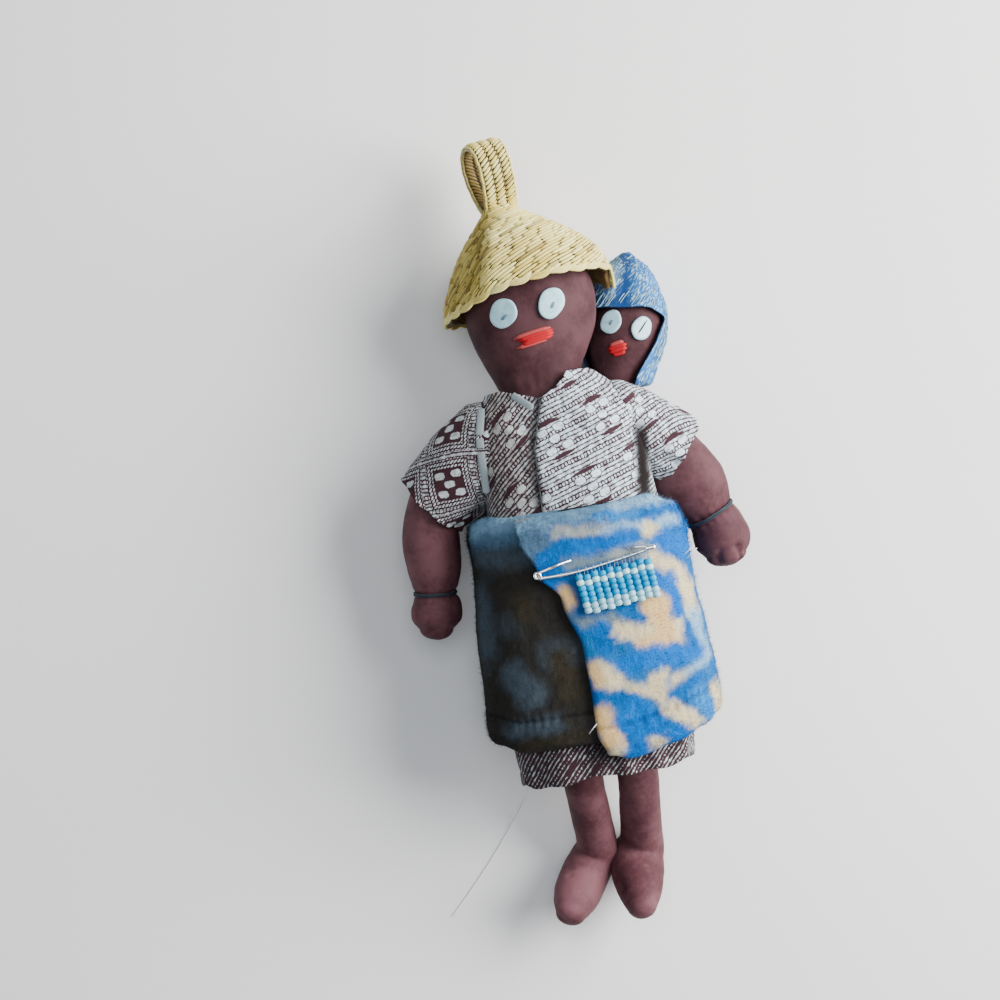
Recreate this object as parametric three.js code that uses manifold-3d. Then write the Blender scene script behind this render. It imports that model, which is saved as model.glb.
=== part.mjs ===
// A sewn cloth doll of a mother who carries a hooded child on her back, lying face up.
// Millimetres. +Z up, the head towards +Y, the mother's left hand towards +X.
import * as THREE from "three";
import { mergeVertices } from "three/addons/utils/BufferGeometryUtils.js";
import Module from "manifold-3d";

const wasm = await Module();
wasm.setup();

// Driving dimensions
const GAP = 0.3; // air between pieces that touch
const DRESS_CLOTH = 1.1;
const FLEECE = 2.0;
const STRAW = 1.3;
const HOOD_CLOTH = 1.2;
const MOTHER_EYE_RADIUS = 3.9;
const BABY_EYE_RADIUS = 3.2;
const EYE_THICKNESS = 1.0;
const PIN_WIRE_RADIUS = 0.45;
const BEAD = 1.95; // pitch along a row, and diameter
const BEAD_ROW = 1.42; // pitch from row to row
const TAG_COLUMNS = 10;
const TAG_ROWS = 7;
const HAT_SCALLOPS = 26;
const THREAD_RADIUS = 0.175;
const TIE_RADIUS = 0.42;

// The doll is drawn about a point at the middle of its waist, then set about its footprint's centre.
const CENTRE_X = -0.48;
const CENTRE_Y = 0.35;

// A station is one section of a stuffed or sewn form:
// its centre, half width, half depth and how square it is (2 is an ellipse).
function station(x, y, z, w, d, n = 2) {
  return { x, y, z, w, d, n };
}

// From the crown of the head to the seat.
const MOTHER_BODY = [
  station(-0.9, 73, 25.0, 9.5, 8.5),
  station(-0.8, 70, 24.6, 13.0, 11.2),
  station(-0.8, 65, 24.2, 16.4, 13.4),
  station(-0.9, 58, 24.0, 17.2, 14.0),
  station(-1.2, 52, 24.0, 16.2, 13.7),
  station(-1.8, 46, 24.5, 13.7, 12.5),
  station(-2.2, 40.5, 26.0, 11.0, 10.6),
  station(-2.2, 36, 27.5, 10.2, 9.6),
  station(-0.8, 31, 29.0, 14.5, 10.8, 2.3),
  station(0.0, 25, 30.0, 19.0, 12.0, 2.4),
  station(0.2, 14, 30.2, 19.6, 12.0, 2.4),
  station(0.0, 2, 29.8, 20.0, 11.7, 2.4),
  station(-0.6, -15, 29.5, 21.5, 11.5, 2.4),
  station(-1.2, -32, 29.5, 22.0, 11.4, 2.4),
  station(-1.6, -43, 29.2, 20.5, 10.4, 2.3),
];
const CROWN_DOME = 4;
const SEAT_DOME = 4;

// From the collar to the hem.
const BODICE = [
  station(-2.2, 41, 26.0, 13.4, 13.0),
  station(-1.0, 36, 27.5, 17.2, 13.0, 2.2),
  station(-0.3, 31, 29.0, 20.6, 13.6, 2.3),
  station(0.2, 25, 30.0, 21.6, 13.9, 2.4),
  station(0.4, 14, 30.2, 21.6, 13.8, 2.4),
  station(0.2, 4, 29.8, 22.2, 13.0, 2.4),
  station(-0.6, -15, 29.5, 23.7, 13.2, 2.4),
  station(-1.2, -32, 29.5, 24.3, 13.1, 2.4),
  station(-1.8, -50, 29.0, 24.2, 13.6, 2.3),
  station(-2.4, -63, 28.0, 23.2, 14.6, 2.3),
];

// From the shoulder to the flared hem of each sleeve.
const RIGHT_SLEEVE = [
  station(-13, 27.5, 29.0, 11.5, 11.2),
  station(-23, 22.4, 26.0, 10.8, 10.6),
  station(-30, 17.6, 23.5, 10.1, 10.0),
  station(-35.2, 13.8, 21.8, 10.2, 9.8),
];
const LEFT_SLEEVE = [
  station(11, 27.5, 29.0, 11.5, 11.2),
  station(19, 23.2, 26.4, 10.8, 10.6),
  station(25.5, 19.2, 23.8, 10.0, 10.0),
  station(30.6, 15.2, 22.0, 9.4, 9.6),
];

// From the shoulder to the finger tips. The right hand hangs straight, the left one turns out.
const RIGHT_ARM = [
  station(-24.0, 22.0, 25.6, 6.0, 6.0),
  station(-29.8, 18.4, 23.4, 6.8, 6.8),
  station(-35.6, 13.2, 21.5, 6.2, 6.6),
  station(-37.3, 5.0, 20.5, 7.6, 7.6),
  station(-37.9, -3.0, 19.8, 7.1, 7.2),
  station(-38.9, -9.6, 19.0, 5.6, 5.7),
  station(-39.2, -13.2, 18.6, 6.6, 6.4),
  station(-39.8, -16.6, 18.3, 6.5, 6.0),
  station(-40.2, -19.0, 18.1, 4.4, 4.6),
];
const LEFT_ARM = [
  station(22.5, 22.4, 25.6, 6.0, 6.0),
  station(27.0, 18.6, 23.6, 6.8, 6.8),
  station(31.8, 12.8, 22.0, 6.9, 7.1),
  station(34.4, 5.6, 21.0, 7.6, 7.6),
  station(36.3, -2.1, 20.0, 6.0, 6.0),
  station(37.1, -5.8, 19.4, 7.1, 6.8),
  station(37.9, -10.2, 18.8, 7.4, 6.8),
  station(38.1, -13.6, 18.5, 5.4, 5.2),
];
const RIGHT_WRIST = 5; // index of the wrist's station
const LEFT_WRIST = 4;
const SHOULDER_DOME = 3;
const HAND_DOME = 3;

// Each leg is a tube down to the heel and a foot that turns up from it.
const RIGHT_SHIN = [
  station(-8.8, -51.5, 26.0, 5.3, 5.5),
  station(-9.3, -59.0, 23.2, 5.3, 5.5),
  station(-9.6, -67.0, 20.0, 5.2, 5.3),
  station(-9.2, -76.0, 14.2, 5.2, 5.2),
  station(-8.9, -83.0, 9.0, 5.3, 5.2),
  station(-9.4, -88.3, 5.17, 5.5, 5.4),
];
const RIGHT_FOOT = [
  station(-10.0, -87.2, 5.02, 6.0, 5.6),
  station(-13.9, -91.6, 9.6, 6.4, 5.5),
  station(-17.4, -95.8, 15.0, 6.0, 5.0),
  station(-19.6, -98.8, 18.6, 4.3, 3.8),
];
const LEFT_SHIN = [
  station(5.6, -51.5, 26.0, 5.5, 5.6),
  station(5.2, -59.0, 23.2, 5.5, 5.6),
  station(4.6, -67.0, 20.0, 5.3, 5.4),
  station(3.8, -76.0, 14.2, 5.4, 5.5),
  station(3.2, -83.0, 9.0, 5.6, 5.7),
  station(2.6, -88.3, 5.2, 5.9, 5.7),
];
const LEFT_FOOT = [
  station(1.8, -87.4, 5.0, 6.4, 5.8),
  station(0.3, -92.6, 10.2, 7.0, 5.8),
  station(-0.2, -97.2, 16.0, 5.7, 5.0),
  station(-0.6, -100.6, 19.8, 3.8, 3.6),
];
const HIP_DOME = 3;
const HEEL_DOME = 4;
const TOE_DOME = 2.8;

// The child: crown, face, neck and swaddled body.
const BABY = [
  station(24.3, 58.5, 9.9, 7.0, 6.6),
  station(23.9, 55.0, 10.4, 9.3, 8.3),
  station(23.2, 50.0, 10.6, 10.2, 9.0),
  station(22.2, 44.5, 10.6, 9.6, 8.7),
  station(20.6, 39.0, 10.0, 7.5, 7.4),
  station(19.2, 34.5, 9.6, 5.8, 5.4),
  station(17.0, 29.0, 8.8, 9.0, 5.6),
  station(13.0, 20.0, 8.7, 11.5, 5.8),
  station(8.5, 8.0, 8.7, 13.0, 5.8),
  station(4.5, -6.0, 8.7, 14.0, 5.8),
  station(1.5, -20.0, 8.7, 14.0, 5.8),
  station(0.0, -32.0, 8.7, 11.0, 5.2),
];
const HOOD = [
  station(26.4, 68.9, 9.6, 2.8, 3.6),
  station(25.4, 66.4, 10.0, 6.3, 6.8),
  station(24.6, 62.5, 10.0, 9.2, 9.2),
  station(23.7, 57.0, 10.5, 11.3, 10.4),
  station(23.0, 51.0, 10.7, 12.2, 10.7),
  station(22.2, 45.0, 10.7, 11.6, 10.5),
  station(20.8, 39.5, 10.0, 10.2, 9.6),
  station(19.0, 34.0, 9.4, 8.8, 8.2),
];
// The child's face shows in the hood through this outline.
const FACE_OPENING = [
  [12.0, 55.4], [18.0, 57.2], [24.0, 57.4], [30.0, 55.2], [33.6, 50.6],
  [31.4, 45.0], [28.6, 39.6], [24.6, 32.0], [14.0, 32.0], [10.6, 44.0],
];
const FACE_OPENING_BACK = 12.5; // the opening is cut through all that lies above this

// The hat: rim, bell and neck. Its rim leans back and to the side.
const HAT = [
  station(-0.9, 60.9, 20.6, 22.3, 20.6),
  station(-1.0, 64.0, 20.7, 21.7, 20.0),
  station(-0.8, 70.0, 21.0, 19.2, 17.8),
  station(-1.6, 75.5, 21.3, 15.2, 14.2),
  station(-2.6, 80.5, 21.0, 10.0, 10.2),
  station(-3.6, 84.2, 20.7, 6.4, 6.6),
  station(-3.9, 87.2, 20.5, 4.3, 4.4),
];
// How much the rim climbs to the mother's left, to the front, and to both at once.
const HAT_LEAN = [0.11, 0.09, 0.004];
const SCALLOP_DEPTH = 0.8;
const LOOP = { x: -4.0, y: 86.5, z: 20.5, length: 17.6, halfDepth: 6.8, width: 9.2, wall: 1.5 };
const LOOP_TURN = THREE.MathUtils.degToRad(16);
const LOOP_LEAN = THREE.MathUtils.degToRad(7);

// The blanket's sections, from its lower edge to its top at the child's shoulders.
const BLANKET = [
  station(-1.4, -60, 23.0, 30.2, 24.6, 3),
  station(-1.4, -50, 23.2, 30.6, 25.0, 3),
  station(-1.0, -39, 23.4, 30.3, 25.2, 3),
  station(-1.1, -27, 23.4, 29.6, 25.2, 3),
  station(-0.8, -15, 23.4, 28.8, 25.2, 3),
  station(-0.5, -4, 23.2, 28.5, 25.0, 3),
  station(-0.8, 3, 23.0, 27.7, 25.2, 3),
  station(0.4, 10, 23.0, 26.2, 25.2, 3),
  station(5.0, 19, 22.6, 24.5, 24.0, 3),
  station(8.0, 28, 22.6, 24.0, 24.0, 3),
];
const BLANKET_TURN = 402; // degrees from the free edge round to the hidden inner end
// Marks of [angle in degrees from the front towards the mother's left, height along the doll].
const BLANKET_TOP = [
  [-60, 7.2], [-20, 5.6], [10, 5.4], [38, 4.6], [62, 1.0], [90, -3.0], [122, 6.0], [150, 25.0],
  [205, 26.0], [236, 8.0], [270, 6.4], [298, 7.6], [330, 6.4], [400, 5.4],
];
const BLANKET_BOTTOM = [
  [-4, -52.0], [0, -57.2], [3, -58.4], [25, -56.6], [48, -54.2], [70, -51.8], [95, -49.2],
  [180, -49.0], [262, -47.6], [296, -50.6], [325, -53.2], [400, -53.6],
];
// The free edge of the flap: [height along the doll, angle].
const FLAP_EDGE = [
  [-58.6, 1.8], [-56.2, -0.6], [-51, -1.9], [-29, -2.0], [-16, -6.3], [-9, -14.7], [0, -22], [8, -24],
];

// The safety pin's two arms, before they are lifted onto the flap.
const PIN_LOWER = [[-11.6, -9.9], [-2.0, -9.9], [8.0, -8.8], [17.0, -7.5]];
const PIN_UPPER = [[-11.8, -8.4], [-5.2, -5.7], [3.0, -5.2], [10.5, -5.7], [17.0, -6.3]];
const PIN_COIL = { x: -12.0, y: -9.1, radius: 1.1 };
const PIN_CLASP = { x: 17.0, y: -6.9, length: 4.2, width: 3.4, height: 1.5 };
const TAG_TOP = { x: -2.9, y: -10.9, slope: 0.068, skew: 0.09 };

// The loose thread, from the corner of the hem down to the ground and along it.
const THREAD_ROUTE = [
  [-24.2, -64.2, 17.6], [-24.6, -65.2, 16.3], [-24.9, -66.1, 14.2], [-25.3, -67.0, 11.5],
  [-25.7, -67.9, 8.4], [-26.1, -68.9, 5.2], [-26.8, -70.2, 2.4], [-28.1, -72.2, 0.8],
  [-30.2, -74.9, 0.32], [-33.0, -78.4, 0.3], [-36.2, -82.2, 0.3], [-39.6, -85.9, 0.3],
  [-43.2, -89.6, 0.3], [-46.4, -92.8, 0.3], [-48.9, -95.2, 0.3], [-51.0, -97.2, 0.3],
];

// Materials
function cloth(colour, roughness = 0.9) {
  return new THREE.MeshStandardMaterial({ color: colour, roughness, metalness: 0 });
}
const SKIN = cloth(0x5e3f42);
const STRAW_YELLOW = cloth(0xc9b26a, 0.7);
const PRINT = cloth(0x7d6f70);
const FLEECE_BLUE = cloth(0x1f6fd6);
const HOOD_BLUE = cloth(0x5d86ad);
const RED = cloth(0xd8262c, 0.6);
const PEARL = cloth(0xd9e6ea, 0.3);
const TURQUOISE = cloth(0x19aee0, 0.3);
const GREY_THREAD = cloth(0x6d7682);
const WHITE_THREAD = cloth(0xf2f2f2);
const STEEL = new THREE.MeshStandardMaterial({ color: 0xc8ccd0, roughness: 0.25, metalness: 1 });

// One point of a rounded-square section, at an angle from the front.
function sectionPoint(angle, w, d, n) {
  const s = Math.sin(angle);
  const c = Math.cos(angle);
  const power = 2 / n;
  return [w * Math.sign(s) * Math.abs(s) ** power, d * Math.sign(c) * Math.abs(c) ** power];
}

// A smooth blend of stations: t runs from 0 to the last station's index.
function blend(stations, t) {
  const last = stations.length - 1;
  const i = Math.min(Math.floor(t), last - 1);
  const f = t - i;
  const [a, b] = [stations[i], stations[i + 1]];
  const before = stations[Math.max(i - 1, 0)];
  const after = stations[Math.min(i + 2, last)];
  const mixed = {};
  for (const key of Object.keys(a)) {
    const slopeA = (b[key] - before[key]) / 2;
    const slopeB = (after[key] - a[key]) / 2;
    const cubic = 2 * (a[key] - b[key]) + slopeA + slopeB;
    const square = 3 * (b[key] - a[key]) - 2 * slopeA - slopeB;
    mixed[key] = ((cubic * f + square) * f + slopeA) * f + a[key];
  }
  return mixed;
}

// Smooth reading between marks of [position, value].
function readMarks(marks, position) {
  const clamped = Math.min(Math.max(position, marks[0][0]), marks[marks.length - 1][0]);
  let i = 0;
  while (i < marks.length - 2 && clamped > marks[i + 1][0]) i += 1;
  const f = (clamped - marks[i][0]) / (marks[i + 1][0] - marks[i][0]);
  const ease = f * f * (3 - 2 * f);
  return marks[i][1] + (marks[i + 1][1] - marks[i][1]) * ease;
}

// The same stations, thicker all round, for a cutter that leaves cloth or air.
function grown(stations, by) {
  return stations.map((s) => ({ ...s, w: s.w + by, d: s.d + by }));
}

// A station moved along the doll, to make a cutter run past an open end.
function pushed(stations, index, dx, dy, dz = 0) {
  return stations.map((s, i) => (i === index ? { ...s, x: s.x + dx, y: s.y + dy, z: s.z + dz } : s));
}

function closedGeometry(points, faces) {
  const geometry = new THREE.BufferGeometry();
  geometry.setAttribute("position", new THREE.Float32BufferAttribute(points.flat(), 3));
  geometry.setIndex(facesOutward(points, faces).flat());
  return geometry;
}

// Turns every face over when the mesh encloses a negative volume.
function facesOutward(points, faces) {
  let volume = 0;
  for (const [a, b, c] of faces) {
    const [p, q, r] = [points[a], points[b], points[c]].map((v) => new THREE.Vector3(...v));
    volume += p.dot(q.cross(r));
  }
  return volume > 0 ? faces : faces.map(([a, b, c]) => [a, c, b]);
}

// A closed form through its stations. Body forms keep their sections square to the doll's
// length, limbs turn them square to their own path.
function loft(stations, { rings, sides, limb = false, startDome = 0, endDome = 0, lean = [0, 0, 0], edge }) {
  const last = stations.length - 1;
  const cuts = [];
  const domeSteps = [0.35, 0.7, 0.92];
  const place = (t, scale, push) => {
    const s = blend(stations, t);
    const step = 0.02;
    const ahead = blend(stations, Math.min(t + step, last));
    const behind = blend(stations, Math.max(t - step, 0));
    const path = new THREE.Vector3(ahead.x - behind.x, ahead.y - behind.y, ahead.z - behind.z).normalize();
    const along = limb ? path : new THREE.Vector3(0, Math.sign(path.y), 0);
    const side = new THREE.Vector3().crossVectors(along, new THREE.Vector3(0, 0, 1)).normalize();
    const up = new THREE.Vector3().crossVectors(side, along);
    const centre = new THREE.Vector3(s.x, s.y, s.z).addScaledVector(path, push);
    return { centre, side, up, w: s.w * scale, d: s.d * scale, n: s.n, t };
  };
  if (startDome) {
    for (const f of [...domeSteps].reverse()) cuts.push(place(0, Math.sqrt(1 - f * f), -startDome * f));
  }
  for (let i = 0; i <= rings; i += 1) cuts.push(place((i / rings) * last, 1, 0));
  if (endDome) {
    for (const f of domeSteps) cuts.push(place(last, Math.sqrt(1 - f * f), endDome * f));
  }
  const points = [];
  cuts.forEach((cut, ringIndex) => {
    for (let k = 0; k < sides; k += 1) {
      const [across, deep] = sectionPoint((k / sides) * 2 * Math.PI, cut.w, cut.d, cut.n);
      const point = cut.centre.clone().addScaledVector(cut.side, across).addScaledVector(cut.up, deep);
      const fade = 1 - cut.t / last;
      const [dx, dz] = [point.x - cut.centre.x, point.z - cut.centre.z];
      point.y += fade * (lean[0] * dx + lean[1] * dz + lean[2] * dx * dz);
      if (edge && ringIndex === 0 && k % 2 === 0) point.y += edge;
      points.push(point.toArray());
    }
  });
  const first = points.length;
  points.push(place(0, 1, -startDome).centre.toArray());
  points.push(place(last, 1, endDome).centre.toArray());
  const faces = [];
  for (let k = 0; k < sides; k += 1) {
    const next = (k + 1) % sides;
    for (let i = 0; i < cuts.length - 1; i += 1) {
      const [a, b] = [i * sides + k, i * sides + next];
      faces.push([a, b, b + sides], [a, b + sides, a + sides]);
    }
    const top = (cuts.length - 1) * sides;
    faces.push([first, next, k], [first + 1, top + k, top + next]);
  }
  return closedGeometry(points, faces);
}

// A sheet with thickness, from two grids of points that face each other.
function sheetSolid(outer, inner) {
  const rows = outer.length;
  const columns = outer[0].length;
  const points = [...outer.flat(), ...inner.flat()];
  const at = (layer, i, j) => layer * rows * columns + i * columns + j;
  const faces = [];
  const quad = (a, b, c, d) => faces.push([a, b, c], [a, c, d]);
  for (let i = 0; i < rows - 1; i += 1) {
    for (let j = 0; j < columns - 1; j += 1) {
      quad(at(0, i, j), at(0, i, j + 1), at(0, i + 1, j + 1), at(0, i + 1, j));
      quad(at(1, i, j), at(1, i + 1, j), at(1, i + 1, j + 1), at(1, i, j + 1));
    }
    quad(at(0, i, 0), at(0, i + 1, 0), at(1, i + 1, 0), at(1, i, 0));
    quad(at(0, i + 1, columns - 1), at(0, i, columns - 1), at(1, i, columns - 1), at(1, i + 1, columns - 1));
  }
  for (let j = 0; j < columns - 1; j += 1) {
    quad(at(0, 0, j + 1), at(0, 0, j), at(1, 0, j), at(1, 0, j + 1));
    quad(at(0, rows - 1, j), at(0, rows - 1, j + 1), at(1, rows - 1, j + 1), at(1, rows - 1, j));
  }
  return closedGeometry(points, faces);
}

// Closed meshes to solids, for joins and cuts. A library shape has seams and poles of doubled
// vertices, which a solid shares.
function toSolid(shape) {
  if (!shape.isBufferGeometry) return shape;
  const bare = shape.clone();
  if (shape.attributes.uv) {
    bare.deleteAttribute("normal");
    bare.deleteAttribute("uv");
  }
  const merged = shape.attributes.uv ? mergeVertices(bare, 1e-4) : bare;
  return new wasm.Manifold(new wasm.Mesh({
    numProp: 3,
    vertProperties: new Float32Array(merged.attributes.position.array),
    triVerts: new Uint32Array(merged.index.array),
  }));
}

function toGeometry(shape) {
  if (shape.isBufferGeometry) return shape;
  const mesh = shape.getMesh();
  const geometry = new THREE.BufferGeometry();
  geometry.setAttribute("position", new THREE.BufferAttribute(new Float32Array(mesh.vertProperties), 3));
  geometry.setIndex(new THREE.BufferAttribute(new Uint32Array(mesh.triVerts), 1));
  return geometry;
}

function join(...shapes) {
  return shapes.map(toSolid).reduce((a, b) => a.add(b));
}

function cut(shape, ...cutters) {
  return cutters.map(toSolid).reduce((a, b) => a.subtract(b), toSolid(shape));
}

function named(name, shape, material) {
  const mesh = new THREE.Mesh(toGeometry(shape), material);
  mesh.name = name;
  return mesh;
}

function wire(points, radius, sides, steps) {
  const curve = new THREE.CatmullRomCurve3(points.map((p) => new THREE.Vector3(...p)));
  const section = new THREE.Shape();
  section.absarc(0, 0, radius, 0, 2 * Math.PI);
  return new THREE.ExtrudeGeometry(section, { steps, curveSegments: sides / 2, extrudePath: curve });
}

// Mother
function motherBodyGeometry(by = 0) {
  return loft(grown(MOTHER_BODY, by), {
    rings: MOTHER_BODY.length - 1, sides: 18, startDome: CROWN_DOME + by, endDome: SEAT_DOME + by,
  });
}

function armGeometry(stations, by = 0) {
  return loft(grown(stations, by), {
    rings: stations.length - 1, sides: 10, limb: true, startDome: SHOULDER_DOME + by, endDome: HAND_DOME + by,
  });
}

function legGeometry(shin, foot, by = 0) {
  const tube = loft(grown(shin, by), {
    rings: 5, sides: 10, limb: true, startDome: HIP_DOME + by, endDome: HEEL_DOME + by,
  });
  const sole = loft(grown(foot, by), {
    rings: 5, sides: 10, limb: true, startDome: HEEL_DOME + by, endDome: TOE_DOME + by,
  });
  return join(tube, sole);
}

// Dress
function bodiceOuter(by = 0) {
  return loft(grown(BODICE, by), { rings: 9, sides: 18 });
}

function sleeveOuter(stations, by = 0) {
  return loft(grown(stations, by), { rings: 3, sides: 12, limb: true });
}

function dressOuter(by = 0) {
  return join(bodiceOuter(by), sleeveOuter(RIGHT_SLEEVE, by), sleeveOuter(LEFT_SLEEVE, by));
}

function dressGeometry() {
  const inner = grown(BODICE, -DRESS_CLOTH);
  const bodiceInner = loft(pushed(pushed(inner, 0, 0, 3), inner.length - 1, 0, -3), { rings: 9, sides: 18 });
  const end = RIGHT_SLEEVE.length - 1;
  const rightInner = sleeveOuter(pushed(grown(RIGHT_SLEEVE, -DRESS_CLOTH), end, -2.2, -1.6, -0.8));
  const leftInner = sleeveOuter(pushed(grown(LEFT_SLEEVE, -DRESS_CLOTH), end, 1.8, -1.6, -0.8));
  return cut(
    dressOuter(),
    bodiceInner,
    rightInner,
    leftInner,
    necklineCutter(),
  );
}

// The neckline dips to a short V over the front seam.
function necklineCutter() {
  const vee = new THREE.Shape([[-16, 44], [-13.2, 41], [-2.9, 34.6], [8.6, 41], [11, 44]]
    .map(([x, y]) => new THREE.Vector2(x, y)));
  const geometry = new THREE.ExtrudeGeometry(vee, { depth: 30, bevelEnabled: false });
  return geometry.translate(0, 0, 27);
}

// Blanket
function blanketAt(y) {
  const last = BLANKET.length - 1;
  let i = 0;
  while (i < last - 1 && y > BLANKET[i + 1].y) i += 1;
  const f = (y - BLANKET[i].y) / (BLANKET[i + 1].y - BLANKET[i].y);
  return blend(BLANKET, i + Math.min(Math.max(f, 0), 1));
}

// The inner end of the blanket lies one layer lower than the flap over it.
function layerDrop(turned) {
  return (FLEECE + GAP) * readMarks([[250, 0], [345, 1]], turned);
}

function blanketPoint(turned, along, inset) {
  const lowEdge = readMarks(FLAP_EDGE, -60) + turned;
  const bottom = readMarks(BLANKET_BOTTOM, lowEdge);
  const guess = bottom + (readMarks(BLANKET_TOP, lowEdge) - bottom) * along;
  const degrees = readMarks(FLAP_EDGE, guess) + turned;
  const y = bottom + (readMarks(BLANKET_TOP, degrees) - bottom) * along;
  const s = blanketAt(y);
  const shrink = inset + layerDrop(turned);
  const [x, z] = sectionPoint(THREE.MathUtils.degToRad(degrees), s.w - shrink, s.d - shrink, s.n);
  return [s.x + x, y, Math.max(s.z + z, inset)];
}

function blanketGeometry() {
  const columns = 38;
  const rows = 6;
  const grid = (inset) => Array.from({ length: columns + 1 }, (_, i) => (
    Array.from({ length: rows + 1 }, (_, j) => (
      blanketPoint((i / columns) * BLANKET_TURN, j / rows, inset)
    ))
  ));
  return sheetSolid(grid(0), grid(FLEECE));
}

// Height of the flap's face at a place on the front.
function flapHeight(x, y) {
  const s = blanketAt(y);
  const reach = Math.min(Math.abs((x - s.x) / s.w), 1);
  return s.z + s.d * (1 - reach ** s.n) ** (1 / s.n);
}

// Hat
function hatOuter(by = 0) {
  return loft(pushed(grown(HAT, by), 0, 0, -by), {
    rings: HAT.length - 1, sides: 2 * HAT_SCALLOPS, lean: HAT_LEAN, edge: -SCALLOP_DEPTH,
  });
}

function hatGeometry() {
  const hollow = grown(HAT, -STRAW).slice(0, 5);
  const inside = loft(pushed(hollow, 0, 0, -2.5), { rings: 4, sides: 20, lean: HAT_LEAN, endDome: 2 });
  return join(cut(hatOuter(), inside), hatLoop());
}

// The loop is a woven strap bent into a drop shape, with its eye turned to the side.
function hatLoop() {
  const outer = loopOutline(LOOP.length, LOOP.halfDepth);
  const eye = loopOutline(LOOP.length - 2 * LOOP.wall - 3, LOOP.halfDepth - LOOP.wall);
  eye.forEach((p) => p.setX(p.x + LOOP.wall + 3));
  const shape = new THREE.Shape(outer);
  shape.holes.push(new THREE.Path(eye));
  const strap = new THREE.ExtrudeGeometry(shape, { depth: LOOP.width, bevelEnabled: false });
  strap.translate(0, 0, -LOOP.width / 2);
  strap.applyMatrix4(new THREE.Matrix4().makeBasis(
    new THREE.Vector3(0, 1, 0),
    new THREE.Vector3(0, 0, 1),
    new THREE.Vector3(1, 0, 0),
  ));
  strap.rotateY(LOOP_TURN).rotateZ(LOOP_LEAN);
  return strap.translate(LOOP.x, LOOP.y, LOOP.z);
}

// A drop shape that starts narrow at the neck, drawn along its length and its depth.
function loopOutline(length, halfDepth) {
  const points = [];
  const steps = 7;
  for (let i = 0; i < 2 * steps; i += 1) {
    const angle = (i / (2 * steps)) * 2 * Math.PI;
    const along = (1 - Math.cos(angle)) / 2;
    const swell = -Math.sin(angle) * (0.45 + 0.55 * along);
    points.push(new THREE.Vector2(along * length, swell * halfDepth * 1.22));
  }
  return points;
}

// Child
function babyGeometry(by = 0) {
  return loft(grown(BABY, by), { rings: 11, sides: 14, startDome: 3.6 + by, endDome: 5 + by });
}

function hoodGeometry() {
  const outer = loft(HOOD, { rings: 7, sides: 14, startDome: 2 });
  const inner = loft(pushed(grown(HOOD, -HOOD_CLOTH), HOOD.length - 1, -0.8, -3), {
    rings: 7, sides: 14, startDome: 0.6,
  });
  const outline = new THREE.Shape(FACE_OPENING.map(([x, y]) => new THREE.Vector2(x, y)));
  const opening = new THREE.ExtrudeGeometry(outline, { depth: 20, bevelEnabled: false });
  opening.translate(0, 0, FACE_OPENING_BACK);
  return cut(outer, inner, opening, ...besideTheChild());
}

// What the child and its hood lie against.
function besideTheChild() {
  return [
    hatOuter(1.5 * GAP),
    motherBodyGeometry(GAP),
    dressOuter(GAP),
  ];
}

// Faces
function disc(radius) {
  const profile = [[0, 0], [radius - 0.25, 0], [radius, 0.45], [radius - 0.3, 0.9], [0, EYE_THICKNESS]];
  const geometry = new THREE.LatheGeometry(profile.map(([r, h]) => new THREE.Vector2(r, h)), 14);
  return geometry.rotateX(Math.PI / 2);
}

// An eye lies on the curve of the head: its turn follows the section there.
function eye(name, radius, x, y, head) {
  const s = headSection(head, y);
  const off = (x - s.x) / s.w;
  const z = s.z + s.d * Math.sqrt(1 - off * off);
  const turn = Math.atan2(s.d * off, s.w * Math.sqrt(1 - off * off));
  const mesh = named(name, disc(radius), PEARL);
  const lift = GAP + 0.1;
  mesh.rotation.y = turn;
  mesh.position.set(x + Math.sin(turn) * lift, y, z + Math.cos(turn) * lift);
  return mesh;
}

function headSection(stations, y) {
  let i = 0;
  while (i < stations.length - 2 && y < stations[i + 1].y) i += 1;
  return blend(stations, i + (stations[i].y - y) / (stations[i].y - stations[i + 1].y));
}

// A stitched lip: a flat lens, cut to the curve of the face under it.
function lip(x, y, z, length, width, degrees) {
  const geometry = new THREE.SphereGeometry(1, 10, 6).scale(length / 2, width / 2, 1.6);
  return geometry.rotateZ(THREE.MathUtils.degToRad(degrees)).translate(x, y, z);
}

function motherMouth() {
  const upper = lip(-1.6, 51.1, 37.6, 10.6, 1.9, 13);
  const lower = lip(-1.9, 49.8, 37.3, 10.2, 1.9, 8);
  return named("mother_mouth", cut(join(upper, lower), motherBodyGeometry(GAP)), RED);
}

function babyMouth() {
  return named("baby_mouth", cut(lip(19.6, 44.6, 19.3, 4.8, 3.6, 0), babyGeometry(GAP)), RED);
}

// Pin and beads
function onFlap(points, lift) {
  const left = flapHeight(points[0][0], points[0][1]) + lift + 0.9;
  const end = points[points.length - 1];
  const right = flapHeight(end[0], end[1]) + lift + 1.9;
  return points.map(([x, y]) => {
    const share = (x - points[0][0]) / (end[0] - points[0][0]);
    return [x, y, left + (right - left) * share];
  });
}

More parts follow.
